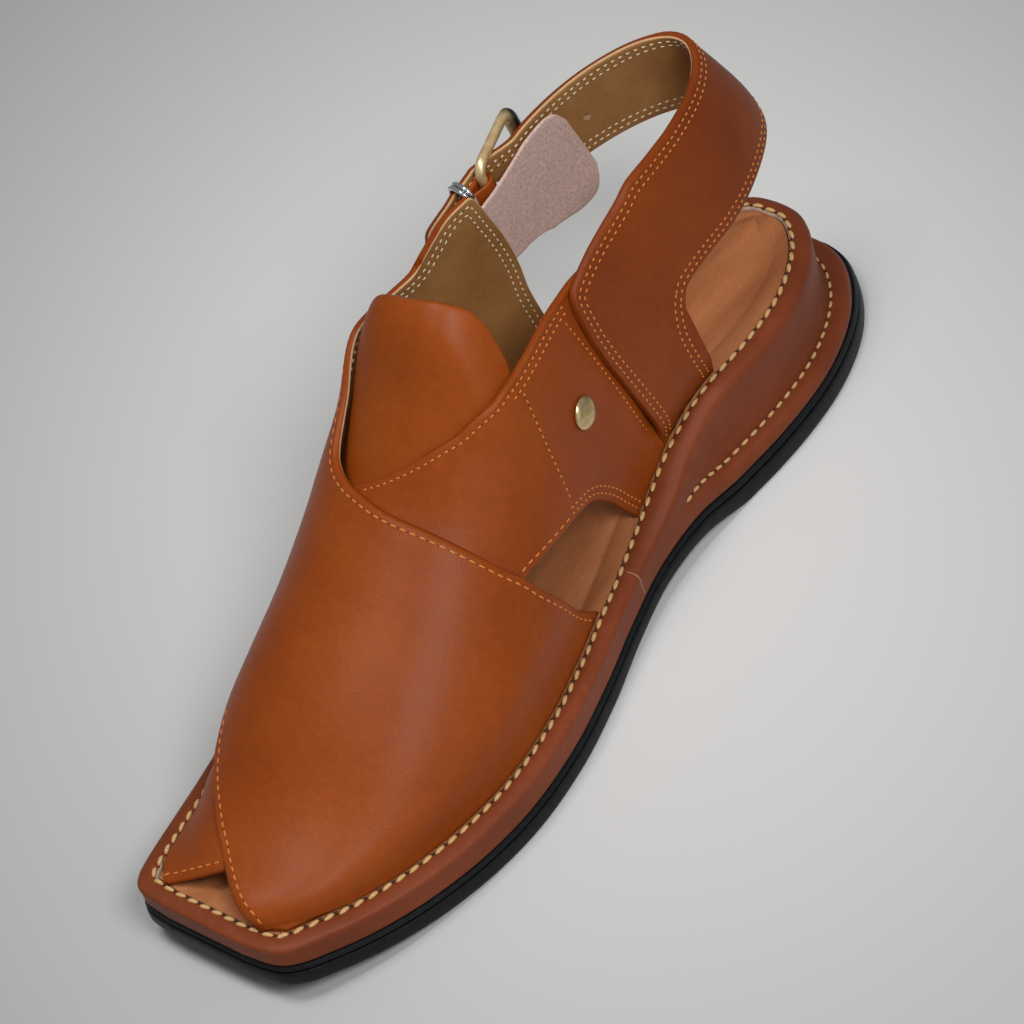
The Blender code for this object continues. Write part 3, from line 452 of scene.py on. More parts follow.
UNDER_PANEL = (
    # front along, front turn, back along, back turn
    (0.0400, 180.0, 0.4735, 180.0),
    (0.0390, 174.0, 0.4570, 174.4),
    (0.0380, 166.0, 0.4405, 166.6),
    (0.0370, 156.0, 0.4216, 156.0),
    (0.0360, 143.0, 0.4128, 148.0),
    (0.0345, 128.0, 0.4050, 138.0),
    (0.0345, 113.6, 0.3985, 126.0),
    (0.0390, 103.0, 0.3960, 116.0),
    (0.0449, 95.7, 0.3978, 106.0),
    (0.0541, 88.1, 0.4040, 98.0),
    (0.0680, 81.0, 0.4113, 91.1),
    (0.0866, 72.0, 0.4205, 85.0),
    (0.1077, 61.0, 0.4305, 79.4),
    (0.1307, 51.0, 0.4415, 74.0),
    (0.1600, 44.5, 0.4525, 69.1),
    (0.1950, 40.0, 0.4650, 63.8),
    (0.2300, 37.0, 0.4790, 58.7),
    (0.2700, 35.0, 0.4900, 54.9),
    (0.3100, 33.5, 0.5007, 52.2),
    (0.3500, 32.6, 0.5224, 49.9),
    (0.3850, 32.2, 0.5420, 49.0),
    (0.4177, 32.0, 0.5624, 48.6),
    (0.4478, 27.4, 0.5872, 48.6),
    (0.4867, 20.9, 0.6150, 48.6),
    (0.5112, 17.7, 0.6450, 48.5),
    (0.5250, 16.2, 0.6650, 47.0),
    (0.5400, 13.6, 0.6800, 41.0),
    (0.5573, 9.1, 0.6880, 29.0),
    (0.5680, 5.0, 0.6910, 16.0),
    (0.5750, 2.0, 0.6940, 6.0),
    (0.5790, 0.0, 0.6950, 0.0),
)


def footed(points, on_rim):
    """Keep leather above the insole margin, and its feet exactly on it."""
    level = rim_top(points[..., 1] / SOLE_LENGTH + 0.5) - FOOT_DROP
    points = points.copy()
    points[..., 2] = np.where(on_rim, level, np.maximum(points[..., 2], level))
    return points

TONGUE = (
    # front along, front turn, back along, back turn
    (0.360, 38.0, 0.5100, 44.0),
    (0.352, 44.0, 0.5303, 48.3),
    (0.347, 52.0, 0.5385, 57.0),
    (0.343, 60.0, 0.5401, 64.4),
    (0.341, 68.0, 0.5368, 70.2),
    (0.340, 76.0, 0.5300, 77.5),
    (0.339, 84.0, 0.5240, 87.0),
    (0.339, 92.0, 0.5208, 96.0),
    (0.339, 100.0, 0.5190, 104.0),
    (0.340, 108.0, 0.5190, 112.0),
    (0.343, 116.0, 0.5195, 120.0),
    (0.347, 124.0, 0.5160, 127.0),
    (0.352, 131.0, 0.5050, 132.0),
    (0.360, 137.0, 0.4880, 136.5),
    (0.370, 142.0, 0.4650, 141.0),
)

STRAP = (
    # low turn, low height in millimetres, top turn, top height, layers
    (-0.645, 80.0, -0.645, 88.0, 2.0),
    (-0.622, 70.5, -0.633, 92.5, 2.0),
    (-0.572, 58.4, -0.600, 95.3, 2.0),
    (-0.515, 45.0, -0.545, 96.6, 2.0),
    (-0.466, 33.0, -0.470, 98.2, 2.0),
    (-0.360, 35.0, -0.370, 100.0, 2.0),
    (-0.240, 37.0, -0.260, 101.6, 2.0),
    (-0.130, 38.0, -0.170, 102.8, 2.0),
    (-0.055, 38.5, -0.105, 103.8, 2.0),
    (-0.075, 46.0, -0.070, 104.5, 2.0),
    (-0.090, 55.3, -0.040, 105.1, 2.0),
    (-0.078, 61.5, -0.010, 105.5, 2.0),
    (-0.045, 66.5, 0.020, 105.7, 2.0),
    (0.005, 69.5, 0.050, 105.7, 2.0),
    (0.060, 70.3, 0.085, 105.7, 2.0),
    (0.120, 70.0, 0.130, 105.6, 2.0),
    (0.180, 70.2, 0.180, 105.7, 2.0),
    (0.240, 71.0, 0.240, 105.9, 2.0),
    (0.300, 71.7, 0.300, 106.3, 2.0),
    (0.370, 72.3, 0.370, 107.0, 2.0),
    (0.440, 73.3, 0.440, 108.0, 2.0),
    (0.510, 74.3, 0.510, 108.8, 2.0),
    (0.580, 75.4, 0.580, 109.3, 2.0),
    (0.650, 76.5, 0.650, 109.4, 2.1),
    (0.720, 78.5, 0.720, 109.2, 2.3),
    (0.800, 80.5, 0.800, 109.0, 2.6),
    (0.880, 82.5, 0.880, 108.8, 2.75),
    (0.960, 84.0, 0.960, 108.4, 2.8),
    (1.020, 85.2, 1.020, 107.8, 2.8),
    (1.080, 85.7, 1.080, 107.1, 3.25),
    (1.128, 85.4, 1.128, 106.5, 3.75),
    (1.234, 83.9, 1.234, 105.0, 4.6),
    (1.280, 82.9, 1.280, 104.3, 4.7),
    (1.320, 81.8, 1.320, 103.6, 4.7),
    (1.400, 80.0, 1.400, 102.4, 4.7),
    (1.480, 78.5, 1.480, 101.2, 4.3),
    (1.560, 77.5, 1.570, 99.2, 4.1),
    (1.620, 79.0, 1.630, 96.5, 4.1),
    (1.650, 83.5, 1.655, 92.0, 4.1),
)

GUARD = (
    # low turn, low height in millimetres, top turn, top height, layers
    (1.490, 81.0, 1.480, 93.0, 1.96),
    (1.420, 77.0, 1.420, 97.2, 1.96),
    (1.352, 76.0, 1.352, 99.2, 1.96),
    (1.262, 75.5, 1.262, 100.8, 1.96),
    (1.200, 75.7, 1.200, 102.0, 1.96),
    (1.139, 75.7, 1.139, 103.2, 1.96),
    (1.060, 74.8, 1.060, 104.8, 1.96),
    (0.988, 72.8, 1.000, 106.1, 1.96),
    (0.938, 70.6, 0.950, 107.0, 1.92),
    (0.902, 71.0, 0.922, 106.8, 1.90),
    (0.885, 74.0, 0.902, 105.0, 1.90),
    (0.875, 80.0, 0.888, 101.0, 1.90),
)

HEIGHT_SHARE = ANKLE_HEIGHT / 118.0

# Buckle frame of reference: centre of its bar, rearwards, upwards and outwards
BAR_CENTRE = wall_skin(1.23, 94.6 * HEIGHT_SHARE, 9.8 * MM / LAYER)[0]
BAR_OUT = unit(np.array([-0.990, 0.140, 0.0]))
BAR_BACK = unit(np.array([0.139, 0.983, 0.120]))
BAR_UP = np.cross(BAR_BACK, BAR_OUT)


def at_buckle(back, up, out):
    """Point from its distances behind, above and outside the bar's centre."""
    return BAR_CENTRE + back * BAR_BACK + up * BAR_UP + out * BAR_OUT


TAB = (
    # back, out in millimetres
    (-14.0, -1.70),
    (-10.4, -0.88),
    (-7.0, -0.88),
    (-4.0, -1.55),
    (-1.8, -2.06),
    (-0.38, -2.19),
    (1.10, -1.91),
    (2.07, -0.75),
    (2.07, 0.75),
    (1.10, 1.91),
    (-0.38, 2.19),
    (-1.8, 2.06),
    (-4.0, 1.55),
    (-7.0, 0.88),
    (-10.4, 0.70),
    (-14.0, -0.15),
)
TAB_LOW = -0.0088
TAB_TOP = 0.0084


# Mesh helpers
def placed(name, data):
    """New object in the scene."""
    obj = bpy.data.objects.new(name, data)
    bpy.context.scene.collection.objects.link(obj)
    return obj


def mesh_piece(name, verts, faces, materials, marks=None, slot=None, replaces=(), sharp=50):
    """Mesh on the root body, smooth below the sharp angle; a cover's name gives the imported node that it
    hides.
    """
    if name.endswith("_cover"):
        slot = name.removesuffix("_cover")
        replaces = [slot]
    mesh = bpy.data.meshes.new(name)
    mesh.from_pydata([tuple(map(float, v)) for v in verts], [], [tuple(map(int, f)) for f in faces])
    for each in materials:
        mesh.materials.append(each)
    if marks is not None:
        mesh.polygons.foreach_set("material_index", np.array(marks, dtype=np.int32))
    bm = bmesh.new()
    bm.from_mesh(mesh)
    bmesh.ops.remove_doubles(bm, verts=bm.verts[:], dist=2e-6)
    bmesh.ops.dissolve_degenerate(bm, dist=1e-6, edges=bm.edges[:])
    bmesh.ops.recalc_face_normals(bm, faces=bm.faces[:])
    for face in bm.faces:
        face.smooth = True
    for edge in bm.edges:
        edge.smooth = edge.calc_face_angle(0.0) < math.radians(sharp)
    bm.to_mesh(mesh)
    bm.free()
    obj = placed(name, mesh)
    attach(obj, "root")
    if replaces:
        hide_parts(*replaces)
    return obj


def bands(count, sides, base=0, closed=False):
    """Faces between rings of points that follow one another."""
    faces = []
    for i in range(count if closed else count - 1):
        here, after = base + i * sides, base + (i + 1) % count * sides
        for k in range(sides):
            m = (k + 1) % sides
            faces.append([here + k, here + m, after + m, after + k])
    return faces


def stacked(name, rings, materials, ring_marks, columns=1, lift=None):
    """Closed solid from stacked rings; ring_marks gives the material of each band, then of both decks."""
    size = len(rings[0])
    verts = [p for ring in rings for p in ring]
    faces = bands(len(rings), size)
    marks = [mark for mark in ring_marks[:-2] for _ in range(size)]
    for ring, base, count, flip in ((rings[0], 0, 1, False), (rings[-1], len(verts) - size, columns, True)):
        points, quads = deck(ring, base, len(verts), count, lift, flip)
        verts += points
        faces += quads
        marks += [ring_marks[int(flip) - 2]] * len(quads)
    return mesh_piece(name, verts, faces, materials, marks)


def leather_sheet(name, inner, normal, thickness, materials, relief=0.0, absent=(), raw=None, slot=None,
                  replaces=()):
    """Closed leather sheet with rounded cut edges, raw where raw is set, and a relief outside."""
    rows, cols = inner.shape[:2]
    r, c = np.arange(rows)[:, None], np.arange(cols)[None, :]
    ring = np.minimum(np.minimum(r, rows - 1 - r), np.minimum(c, cols - 1 - c))
    low = inner + normal * (thickness * np.where(ring == 0, 0.06, 0.0))[..., None]
    high_share = np.where(ring == 0, 0.74, np.where(ring == 1, 0.96, 1.0))
    high = inner + normal * (thickness * high_share + relief * (ring > 0))[..., None]
    size = rows * cols
    verts = list(low.reshape(-1, 3)) + list(high.reshape(-1, 3))
    middle = {}

    def rim(p):
        if p not in middle:
            i, j = divmod(p, cols)
            centre = inner[i, j] + normal[i, j] * thickness * 0.26
            away = inner[i, j] - inner[min(max(i, 1), rows - 2), min(max(j, 1), cols - 2)]
            length = np.linalg.norm(away)
            if length > 1e-7:
                centre = centre + away / length * min(thickness * 0.16, length)
            middle[p] = len(verts)
            verts.append(centre)
        return middle[p]

    missing = set(absent)
    present = {(i, j) for i in range(rows - 1) for j in range(cols - 1)} - missing
    faces = []
    marks = []
    for i, j in sorted(present):
        a, b = i * cols + j, i * cols + j + 1
        d, e = a + cols, b + cols
        faces += [[a, b, e, d], [size + a, size + d, size + e, size + b]]
        marks += [1, 0]
        sides = (((i - 1, j), a, b), ((i + 1, j), e, d), ((i, j - 1), d, a), ((i, j + 1), b, e))
        for neighbour, p, q in sides:
            if neighbour not in present:
                faces += [[q, p, rim(p), rim(q)], [rim(q), rim(p), size + p, size + q]]
                marks += [2 if raw is None or raw.flat[p] else 0, 2 if neighbour in missing else 0]
    mesh_piece(name, verts, faces, materials, marks, slot, replaces, sharp=80)
    return high


# Round end of a wire: share of its radius, reach beyond its last point in radii
CAPS = np.array([(0.98, 0.2), (0.87, 0.5), (0.60, 0.8), (0.25, 0.97)])


def wire(name, path, radii, face, sides, closed=False, slot=None):
    """Round wire along a path without twist, with rounded ends where it is open."""
    path = np.array(path, float)
    radii = np.array(np.broadcast_to(radii, len(path)), float)
    if not closed:
        start, end = unit(path[0] - path[1]), unit(path[-1] - path[-2])
        path = np.vstack([path[0] + start * radii[0] * CAPS[::-1, 1:], path,
                          path[-1] + end * radii[-1] * CAPS[:, 1:]])
        radii = np.concatenate([radii[0] * CAPS[::-1, 0], radii, radii[-1] * CAPS[:, 0]])
    count = len(path)
    angles = (np.arange(sides) * 2 * math.pi / sides)[:, None]
    verts = []
    axis = None
    for i in range(count):
        before = path[i - 1] if i or closed else path[0]
        after = path[(i + 1) % count] if i < count - 1 or closed else path[-1]
        tangent = unit(after - before)
        axis = np.cross(tangent, [0.31, 0.17, 0.93]) if axis is None else axis
        axis = unit(axis - tangent * axis.dot(tangent))
        spokes = np.cos(angles) * axis + np.sin(angles) * np.cross(tangent, axis)
        verts += list(path[i] + radii[i] * spokes)
    faces = bands(count, sides, closed=closed)
    if not closed:
        faces += [list(range(sides))[::-1], [(count - 1) * sides + k for k in range(sides)]]
    mesh_piece(name, verts, faces, [face], slot=slot, sharp=70)


# Materials
def nodes_of(name):
    """New material with its node tree, its shader and its place on the object."""
    made = bpy.data.materials.new(name)
    made.use_nodes = True
    tree = made.node_tree
    return made, tree, tree.nodes["Principled BSDF"], tree.nodes.new("ShaderNodeTexCoord").outputs["Object"]


def put(tree, socket, value):
    """Link an input to another node, or set its value."""
    if isinstance(value, bpy.types.NodeSocket):
        tree.links.new(value, socket)
    else:
        socket.default_value = value


def fill(tree, node, **values):
    """Give a node its inputs by name, with _ for a space."""
    for key, value in values.items():
        put(tree, node.inputs[key.replace("_", " ")], value)


def add(tree, kind, output=0, **values):
    """Output of a new node with named inputs."""
    node = tree.nodes.new("ShaderNode" + kind)
    fill(tree, node, **values)
    return node.outputs[output]


def reckon(tree, operation, *values, kind="Math"):
    """Result of a new node that reckons with sockets or numbers."""
    node = tree.nodes.new("ShaderNode" + kind)
    node.operation = operation
    for place, value in enumerate(values):
        put(tree, node.inputs[place], value)
    return node.outputs["Value"]


def ramp_of(tree, source, *stops):
    """Colour ramp over a value."""
    ramp = tree.nodes.new("ShaderNodeValToRGB")
    elements = ramp.color_ramp.elements
    while len(elements) < len(stops):
        elements.new(0.5)
    for element, (place, colour) in zip(elements, stops):
        element.position = place
        element.color = (*colour, 1.0)
    tree.links.new(source, ramp.inputs["Fac"])
    return ramp.outputs["Color"]


def mixed(tree, kind, *values):
    """Mix of two colours by a factor; values are the factor and both colours."""
    mix = tree.nodes.new("ShaderNodeMix")
    mix.data_type = "RGBA"
    mix.blend_type = kind
    mix.clamp_factor = True
    for place, value in zip((0, 6, 7), values):
        put(tree, mix.inputs[place], value)
    return mix.outputs[2]


def leather(name, dark, base, light, roughness=0.42, grain=0.10, pores=1500.0, streak=(1, 1, 1),
            blotch=26.0):
    """Finished leather: blotches, faint streaks, fine grain and uneven gloss."""
    made, tree, shader, place = nodes_of(name)
    stretched = add(tree, "Mapping", Vector=place, Scale=streak)
    cloud = add(tree, "TexNoise", "Fac", Vector=stretched, Scale=blotch, Detail=5.0, Roughness=0.55)
    fine = add(tree, "TexNoise", "Fac", Vector=place, Scale=blotch * 14, Detail=3.0, Roughness=0.6)
    colour = mixed(tree, "MULTIPLY", 0.55, ramp_of(tree, cloud, (0.30, dark), (0.50, base), (0.74, light)),
                   ramp_of(tree, fine, (0.35, (0.84, 0.82, 0.80)), (0.65, (1.0, 1.0, 1.0))))
    cells = add(tree, "TexVoronoi", "Distance", Vector=place, Scale=pores)
    soft = add(tree, "TexNoise", "Fac", Vector=place, Scale=pores * 0.45, Detail=4.0)
    bump = add(tree, "Bump", Height=reckon(tree, "ADD", cells, soft), Strength=grain, Distance=0.0004)
    gloss = add(tree, "MapRange", Value=fine, To_Min=roughness - 0.06, To_Max=roughness + 0.08)
    fill(tree, shader, Base_Color=colour, Normal=bump, Roughness=gloss, Specular_IOR_Level=0.15)
    return made


def metal(name, base, dark, roughness, metallic=1.0, fade=None):
    """Metal with tarnish in patches; fade darkens it rearwards from one length to another."""
    made, tree, shader, place = nodes_of(name)
    cloud = add(tree, "TexNoise", "Fac", Vector=place, Scale=260.0, Detail=4.0, Roughness=0.6)
    colour = ramp_of(tree, cloud, (0.40, dark), (0.60, base))
    if fade:
        rearward = add(tree, "SeparateXYZ", "Y", Vector=place)
        share = add(tree, "MapRange", Value=rearward, From_Min=fade[0], From_Max=fade[1])
        colour = mixed(tree, "MIX", share, colour, (0.018, 0.014, 0.010, 1.0))
    gloss = add(tree, "MapRange", Value=cloud, To_Min=roughness + 0.10, To_Max=roughness - 0.04)
    bump = add(tree, "Bump", Height=cloud, Strength=0.04, Distance=0.0003)
    fill(tree, shader, Base_Color=colour, Normal=bump, Roughness=gloss, Metallic=metallic)
    return made


def matt(name, dark, light, roughness, scale, strength, sheen=0.0, distance=0.0004, detail=6.0, gloss=0.3):
    """Matt surface with a speckle and a bump of the same noise, such as suede, thread or rubber."""
    made, tree, shader, place = nodes_of(name)
    cloud = add(tree, "TexNoise", "Fac", Vector=place, Scale=scale, Detail=detail, Roughness=0.7)
    bump = add(tree, "Bump", Height=cloud, Strength=strength, Distance=distance)
    fill(tree, shader, Base_Color=ramp_of(tree, cloud, (0.34, dark), (0.66, light)), Normal=bump,
         Roughness=roughness, Sheen_Weight=sheen, Specular_IOR_Level=gloss)
    return made


UPPER = leather("upper_leather", (0.215, 0.039, 0.0035), (0.250, 0.047, 0.0045), (0.285, 0.057, 0.006))
TONGUE_FACE = leather("tongue_leather", (0.24, 0.046, 0.004), (0.275, 0.055, 0.0055), (0.31, 0.066, 0.008),
                      0.40)
STRAP_FACE = leather("strap_leather", (0.165, 0.030, 0.003), (0.20, 0.038, 0.004), (0.235, 0.047, 0.0055))
TAB_FACE = leather("tab_leather", (0.24, 0.044, 0.004), (0.29, 0.056, 0.006), (0.33, 0.068, 0.008), 0.36)
PLATFORM = leather("platform_leather", (0.135, 0.028, 0.008), (0.172, 0.037, 0.011), (0.21, 0.048, 0.016),
                   0.46, 0.08, 1300.0)
INSOLE = leather("insole_leather", (0.28, 0.092, 0.032), (0.36, 0.130, 0.048), (0.45, 0.18, 0.075), 0.55,
                 pores=1700.0, streak=(1.6, 0.22, 1.0), blotch=60.0)
LINING = leather("lining_leather", (0.25, 0.112, 0.034), (0.33, 0.156, 0.050), (0.40, 0.20, 0.072), 0.55,
                 0.12, blotch=40.0)
RAW_EDGE = matt("raw_leather_edge", (0.42, 0.25, 0.13), (0.56, 0.36, 0.20), 0.85, 900.0, 0.3)
RIM_EDGE = matt("rim_raw_edge", (0.30, 0.20, 0.15), (0.46, 0.34, 0.27), 0.85, 900.0, 0.3)
SUEDE = matt("guard_suede", (0.46, 0.31, 0.265), (0.74, 0.53, 0.46), 0.95, 1100.0, 0.9, sheen=0.2,
             detail=9.0)
RUBBER_FACE = matt("black_rubber", (0.0035, 0.004, 0.0045), (0.008, 0.009, 0.010), 0.45, 420.0, 0.12,
                   gloss=0.16)
GOLD_THREAD = matt("gold_thread", (0.46, 0.13, 0.020), (0.62, 0.21, 0.042), 0.6, 2600.0, 0.35,
                   distance=0.0002)
CREAM_THREAD = matt("cream_thread", (0.60, 0.50, 0.33), (0.82, 0.72, 0.52), 0.65, 2600.0, 0.35,
                    distance=0.0002)
RIM_THREAD = matt("rim_thread", (0.42, 0.24, 0.085), (0.62, 0.41, 0.18), 0.6, 1900.0, 0.4, distance=0.0003)
# Needle holes: a near-black blob stands in for each hole, its darkness painted shade of the recess
NEEDLE_HOLE_SHADE = matt("needle_hole_painted_shade", (0.035, 0.012, 0.005), (0.06, 0.022, 0.009), 0.9, 1200.0, 0.1)
BRASS_FACE = metal("antique_brass", (0.86, 0.66, 0.36), (0.62, 0.44, 0.20), 0.30, 0.6, (0.0765, 0.0795))
RIVET_FACE = metal("rivet_brass", (0.60, 0.46, 0.24), (0.42, 0.30, 0.13), 0.20, 0.8)
CHROME_FACE = metal("polished_chrome", (0.78, 0.79, 0.81), (0.62, 0.63, 0.65), 0.12)

# Sole: rubber, leather platform and insole
rubber_rings = [ring_at(inset, rubber_level(share)) for inset, share in through(RUBBER_SIDE, 3)]
outsole = stacked("outsole_cover", rubber_rings, [RUBBER_FACE], [0] * (len(rubber_rings) + 1))

# Cross grooves of the underside, each over one step of the outline's coarse rows
GROOVES = (8, 10, 12, 14, 16, 18, 20, 28, 30, 32, 34, 36)
LUG_MARGIN = 2.2 * MM
coarse_rows = length_at(through(OUTLINE, 2)[:, 0])
bm = bmesh.new()
bm.from_mesh(outsole.data)
for row in GROOVES:
    chosen = [f for f in bm.faces if f.normal.z < -0.9 and f.calc_area() > 6e-5
              and coarse_rows[row] < f.calc_center_median().y < coarse_rows[row + 1]
              and f.calc_center_median().z < HEEL_RUBBER / 2]
    bmesh.ops.inset_region(bm, faces=chosen, thickness=LUG_MARGIN, depth=-LUG_DEPTH)
bm.to_mesh(outsole.data)
bm.free()

platform_rows = [
    (LEDGE_INSET + 0.0006, platform(0.0, 0.0)),
    (LEDGE_INSET + 0.0001, platform(0.05, 0.5)),
    (LEDGE_INSET, platform(0.12, 1.2)),
    (LEDGE_INSET + 0.0001 * RING_HEEL, platform(0.19, 2.1)),
    (LEDGE_INSET + 0.0004 * RING_HEEL, platform(0.26, 3.0)),
    (LEDGE_INSET + 0.0008 * RING_HEEL, platform(0.33, 3.8)),
    (LEDGE_INSET + 0.0015 * RING_HEEL, platform(0.38, 4.4)),
    (LEDGE_INSET + 0.0024 * RING_HEEL, platform(0.42, 4.8)),
    (GROOVE_INSET, platform(0.48, 5.0)),
    (GROOVE_INSET + 0.0009 * RING_HEEL, platform(0.52, 5.5)),
    (GROOVE_INSET + 0.0010 * RING_HEEL, platform(0.56, 6.8)),
    (GROOVE_INSET * 0.45 + WALL_INSET * 0.55 + 0.0011 * RING_HEEL, platform(0.61, 9.0)),
    (WALL_INSET + 0.0008 * RING_HEEL, platform(0.66, 12.0)),
    (WALL_INSET + 0.0004 * RING_HEEL, platform(0.71, -8.0)),
    (WALL_INSET + 0.0002 * RING_HEEL, platform(0.76, -5.5)),
    (WALL_INSET + 0.0001, platform(0.82, -3.8)),
    (WALL_INSET + 0.0003, platform(0.87, -2.4)),
    (WALL_INSET + 0.0008, platform(0.92, -1.5)),
    (WALL_INSET + 0.0017, platform(0.965, -0.7)),
    (WALL_INSET * 0.5 + SETBACK * 0.5 + 0.0006, platform(0.99, -0.2)),
    (SETBACK - 0.0008, below_rim(0.0)),
    (SETBACK + 0.0004, below_rim(0.0001)),
    (SETBACK + 0.0014, below_rim(0.0004)),
    (SETBACK + LIP_WIDTH - 0.0001, below_rim(0.0010)),
    (SETBACK + LIP_WIDTH, below_rim(0.0013)),
    (SETBACK + LIP_WIDTH, below_rim(LIP_DEPTH)),
]
platform_rings = [ring_at(inset, height) for inset, height in platform_rows]
platform_marks = [0] * (len(platform_rings) - 4) + [1, 1, 1, 0, 0]
stacked("midsole_cover", platform_rings, [PLATFORM, RIM_EDGE], platform_marks)

# The insole's edge beside the lip, then the step up to its pad
insole_edge = SETBACK + LIP_WIDTH + GAP
insole_level = LIP_DEPTH - GAP - MARGIN
insole_rows = [(insole_edge, insole_level + MARGIN), (insole_edge, insole_level + 0.0003),
               (insole_edge + 0.0004, insole_level)]
PAD_STEP = ((-0.0014, 0.0), (-0.0008, -0.0003), (-0.0002, -0.0003), (0.0004, 0.0001), (0.0010, 0.0004),
            (0.0030, 0.0013))
insole_rows += [(PAD_EDGE + more, insole_level - rise) for more, rise in PAD_STEP]
insole_rings = [ring_at(inset, below_rim(drop)) for inset, drop in insole_rows]
stacked("insole_cover", insole_rings, [INSOLE], [0] * (len(insole_rings) + 1), 16, pad_crown)

# Upper panels and tongue
SHARES = np.unique(np.concatenate([[0.0, 0.006, 0.018, 0.035, 0.055, 0.078], np.linspace(0.10, 0.90, 41),
                                   [0.922, 0.945, 0.965, 0.982, 0.994, 1.0]]))
ROW_STEPS = 5
CORNER_REACH = 0.020
FOOT_SHIFT = 0.0085
SHIFT_PASSES = 14
PANEL_INSETS = (0.0021, 0.0041)
TONGUE_LAYER = -0.25
LIP_RING = ring_at(SETBACK + LIP_WIDTH + 0.0001, below_rim(LIP_DEPTH))


def near_layers(along, turn):
    """The near panel lies over the other one and comes down one layer at both rims."""
    return 1 + ease(4, 24, turn) * (1 - ease(0.40, 0.47, along) * ease(95, 118, turn))


def under_layers(along, turn):
    """The under panel drops one layer at its foot behind the heel strap."""
    return 1 - ease(0.625, 0.665, along) * (1 - ease(6, 22, turn)) * (turn < 90)


def between(table, steps, shares):
    """Both coordinates of a fine grid between the edges in a table, and the table's fine rows."""
    edges = through(table, steps)
    return [edges[:, k:k + 1] * (1 - shares) + edges[:, k + 2:k + 3] * shares for k in (0, 1)] + [edges]


def above_rim(points):
    """Height of points above the top of the rim beside them."""
    return points[..., 2] - rim_top(points[..., 1] / SOLE_LENGTH + 0.5)


def distance_from(points, lines, spacing=0.0003, batch=1500):
    """Distance of every grid point from the nearest of some lines, filled in at a fine spacing."""
    dense = []
    for line in lines:
        reach = arc_of(line)
        at = np.arange(0, reach[-1], spacing)
        dense.append(np.stack([np.interp(at, reach, line[:, k]) for k in range(3)], axis=-1))
    edge = np.concatenate(dense)
    flat = points.reshape(-1, 3)
    nearest = []
    for start in range(0, len(flat), batch):
        part = flat[start:start + batch]
        square = (part ** 2).sum(1)[:, None] + (edge ** 2).sum(1)[None, :] - 2 * part @ edge.T
        nearest.append(np.sqrt(np.maximum(square.min(axis=1), 0)))
    return np.concatenate(nearest).reshape(points.shape[:2])


def contours(field, level, data):
    """Lines where a field on a grid crosses a level, as rows of interpolated data."""
    above = field > level
    crossed_cells = (above[:-1, :-1] != above[1:, :-1]) | (above[:-1, :-1] != above[:-1, 1:]) | (
        above[:-1, :-1] != above[1:, 1:])
    links = {}
    for i, j in np.argwhere(crossed_cells):
        corners = ((i, j), (i, j + 1), (i + 1, j + 1), (i + 1, j))
        sides = zip(corners, corners[1:] + corners[:1])
        crossed = [tuple(sorted(side)) for side in sides if above[side[0]] != above[side[1]]]
        for a, b in zip(crossed[::2], crossed[1::2]):
            links.setdefault(a, []).append(b)
            links.setdefault(b, []).append(a)
    lines = []
    while links:
        here = next((key for key, ends in links.items() if len(ends) == 1), next(iter(links)))
        chain = []
        while here is not None:
            (p, q), onward = here, links.pop(here)
            share = (level - field[p]) / (field[q] - field[p])
            chain.append(data[p] * (1 - share) + data[q] * share)
            here = next((key for key in onward if key in links), None)
        if len(chain) > 4:
            lines.append(np.array(chain))
    return lines


def corner_way(nearest, reach, last):
    """Lip points and outward normals for the first feet of a row, spread evenly round the corner."""
    size = len(LIP_RING)
    span = (nearest[last] - nearest[0] + size // 2) % size - size // 2
    indices = (nearest[0] + np.arange(abs(span) + 1) * int(np.sign(span))) % size
    way = np.concatenate([LIP_RING[indices, :2], -RING_IN[indices]], axis=1)
    arc = arc_of(way[:, :2])
    at = reach[:last + 1] / reach[last] * arc[-1]
    return np.stack([np.interp(at, arc, way[:, k]) for k in range(4)], axis=-1)


def to_lip(points, normals, on_rim):
    """Shift leather near its foot sideways so that the foot stands against the rim's lip."""
    shifts = []
    whole_rows = on_rim.any(axis=1).sum() < 4
    for row in np.flatnonzero(on_rim.all(axis=1)) if whole_rows else [on_rim]:
        feet = points[row]
        nearest = np.argmin(((feet[:, None, :2] - LIP_RING[:, :2]) ** 2).sum(-1), axis=1)
        goal = np.concatenate([LIP_RING[nearest, :2], -RING_IN[nearest]], axis=1)
        reach = arc_of(feet[:, :2])
        last = int(np.searchsorted(reach, CORNER_REACH))
        if whole_rows and last < len(feet) - 1:
            goal[:last + 1] = corner_way(nearest, reach, last)
        outward = goal[:, 2:]
        lean = np.clip((normals[row][:, :2] * outward).sum(-1), 0, 1)[:, None]
        step = goal[:, :2] - outward * lean * LEATHER - feet[:, :2]
        for _ in range(SHIFT_PASSES):
            step[1:-1] = (step[:-2] + 2 * step[1:-1] + step[2:]) / 4
        shifts.append(step)
    shift = np.concatenate(shifts)
    reach = np.linalg.norm(shift, axis=1)[:, None]
    shift = shift * np.minimum(1, FOOT_SHIFT / np.maximum(reach, 1e-9))
    away = np.linalg.norm(points[..., None, :] - points[on_rim], axis=-1)
    weight = np.exp(-(away / 0.0030) ** 2) + 1e-9 * np.exp(-away / 0.006)
    blended = (weight[..., None] * shift).sum(-2) / weight.sum(-1)[..., None]
    long_fade = 0.012 + 0.016 * (1 - ease(-0.125, -0.095, points[..., 1]))
    fade = 1 - ease(0.0, 1.0, away.min(axis=-1) / long_fade)
    moved = points.copy()
    moved[..., :2] += blended * fade[..., None]
    moved[on_rim, :2] = points[on_rim, :2] + shift
    return moved


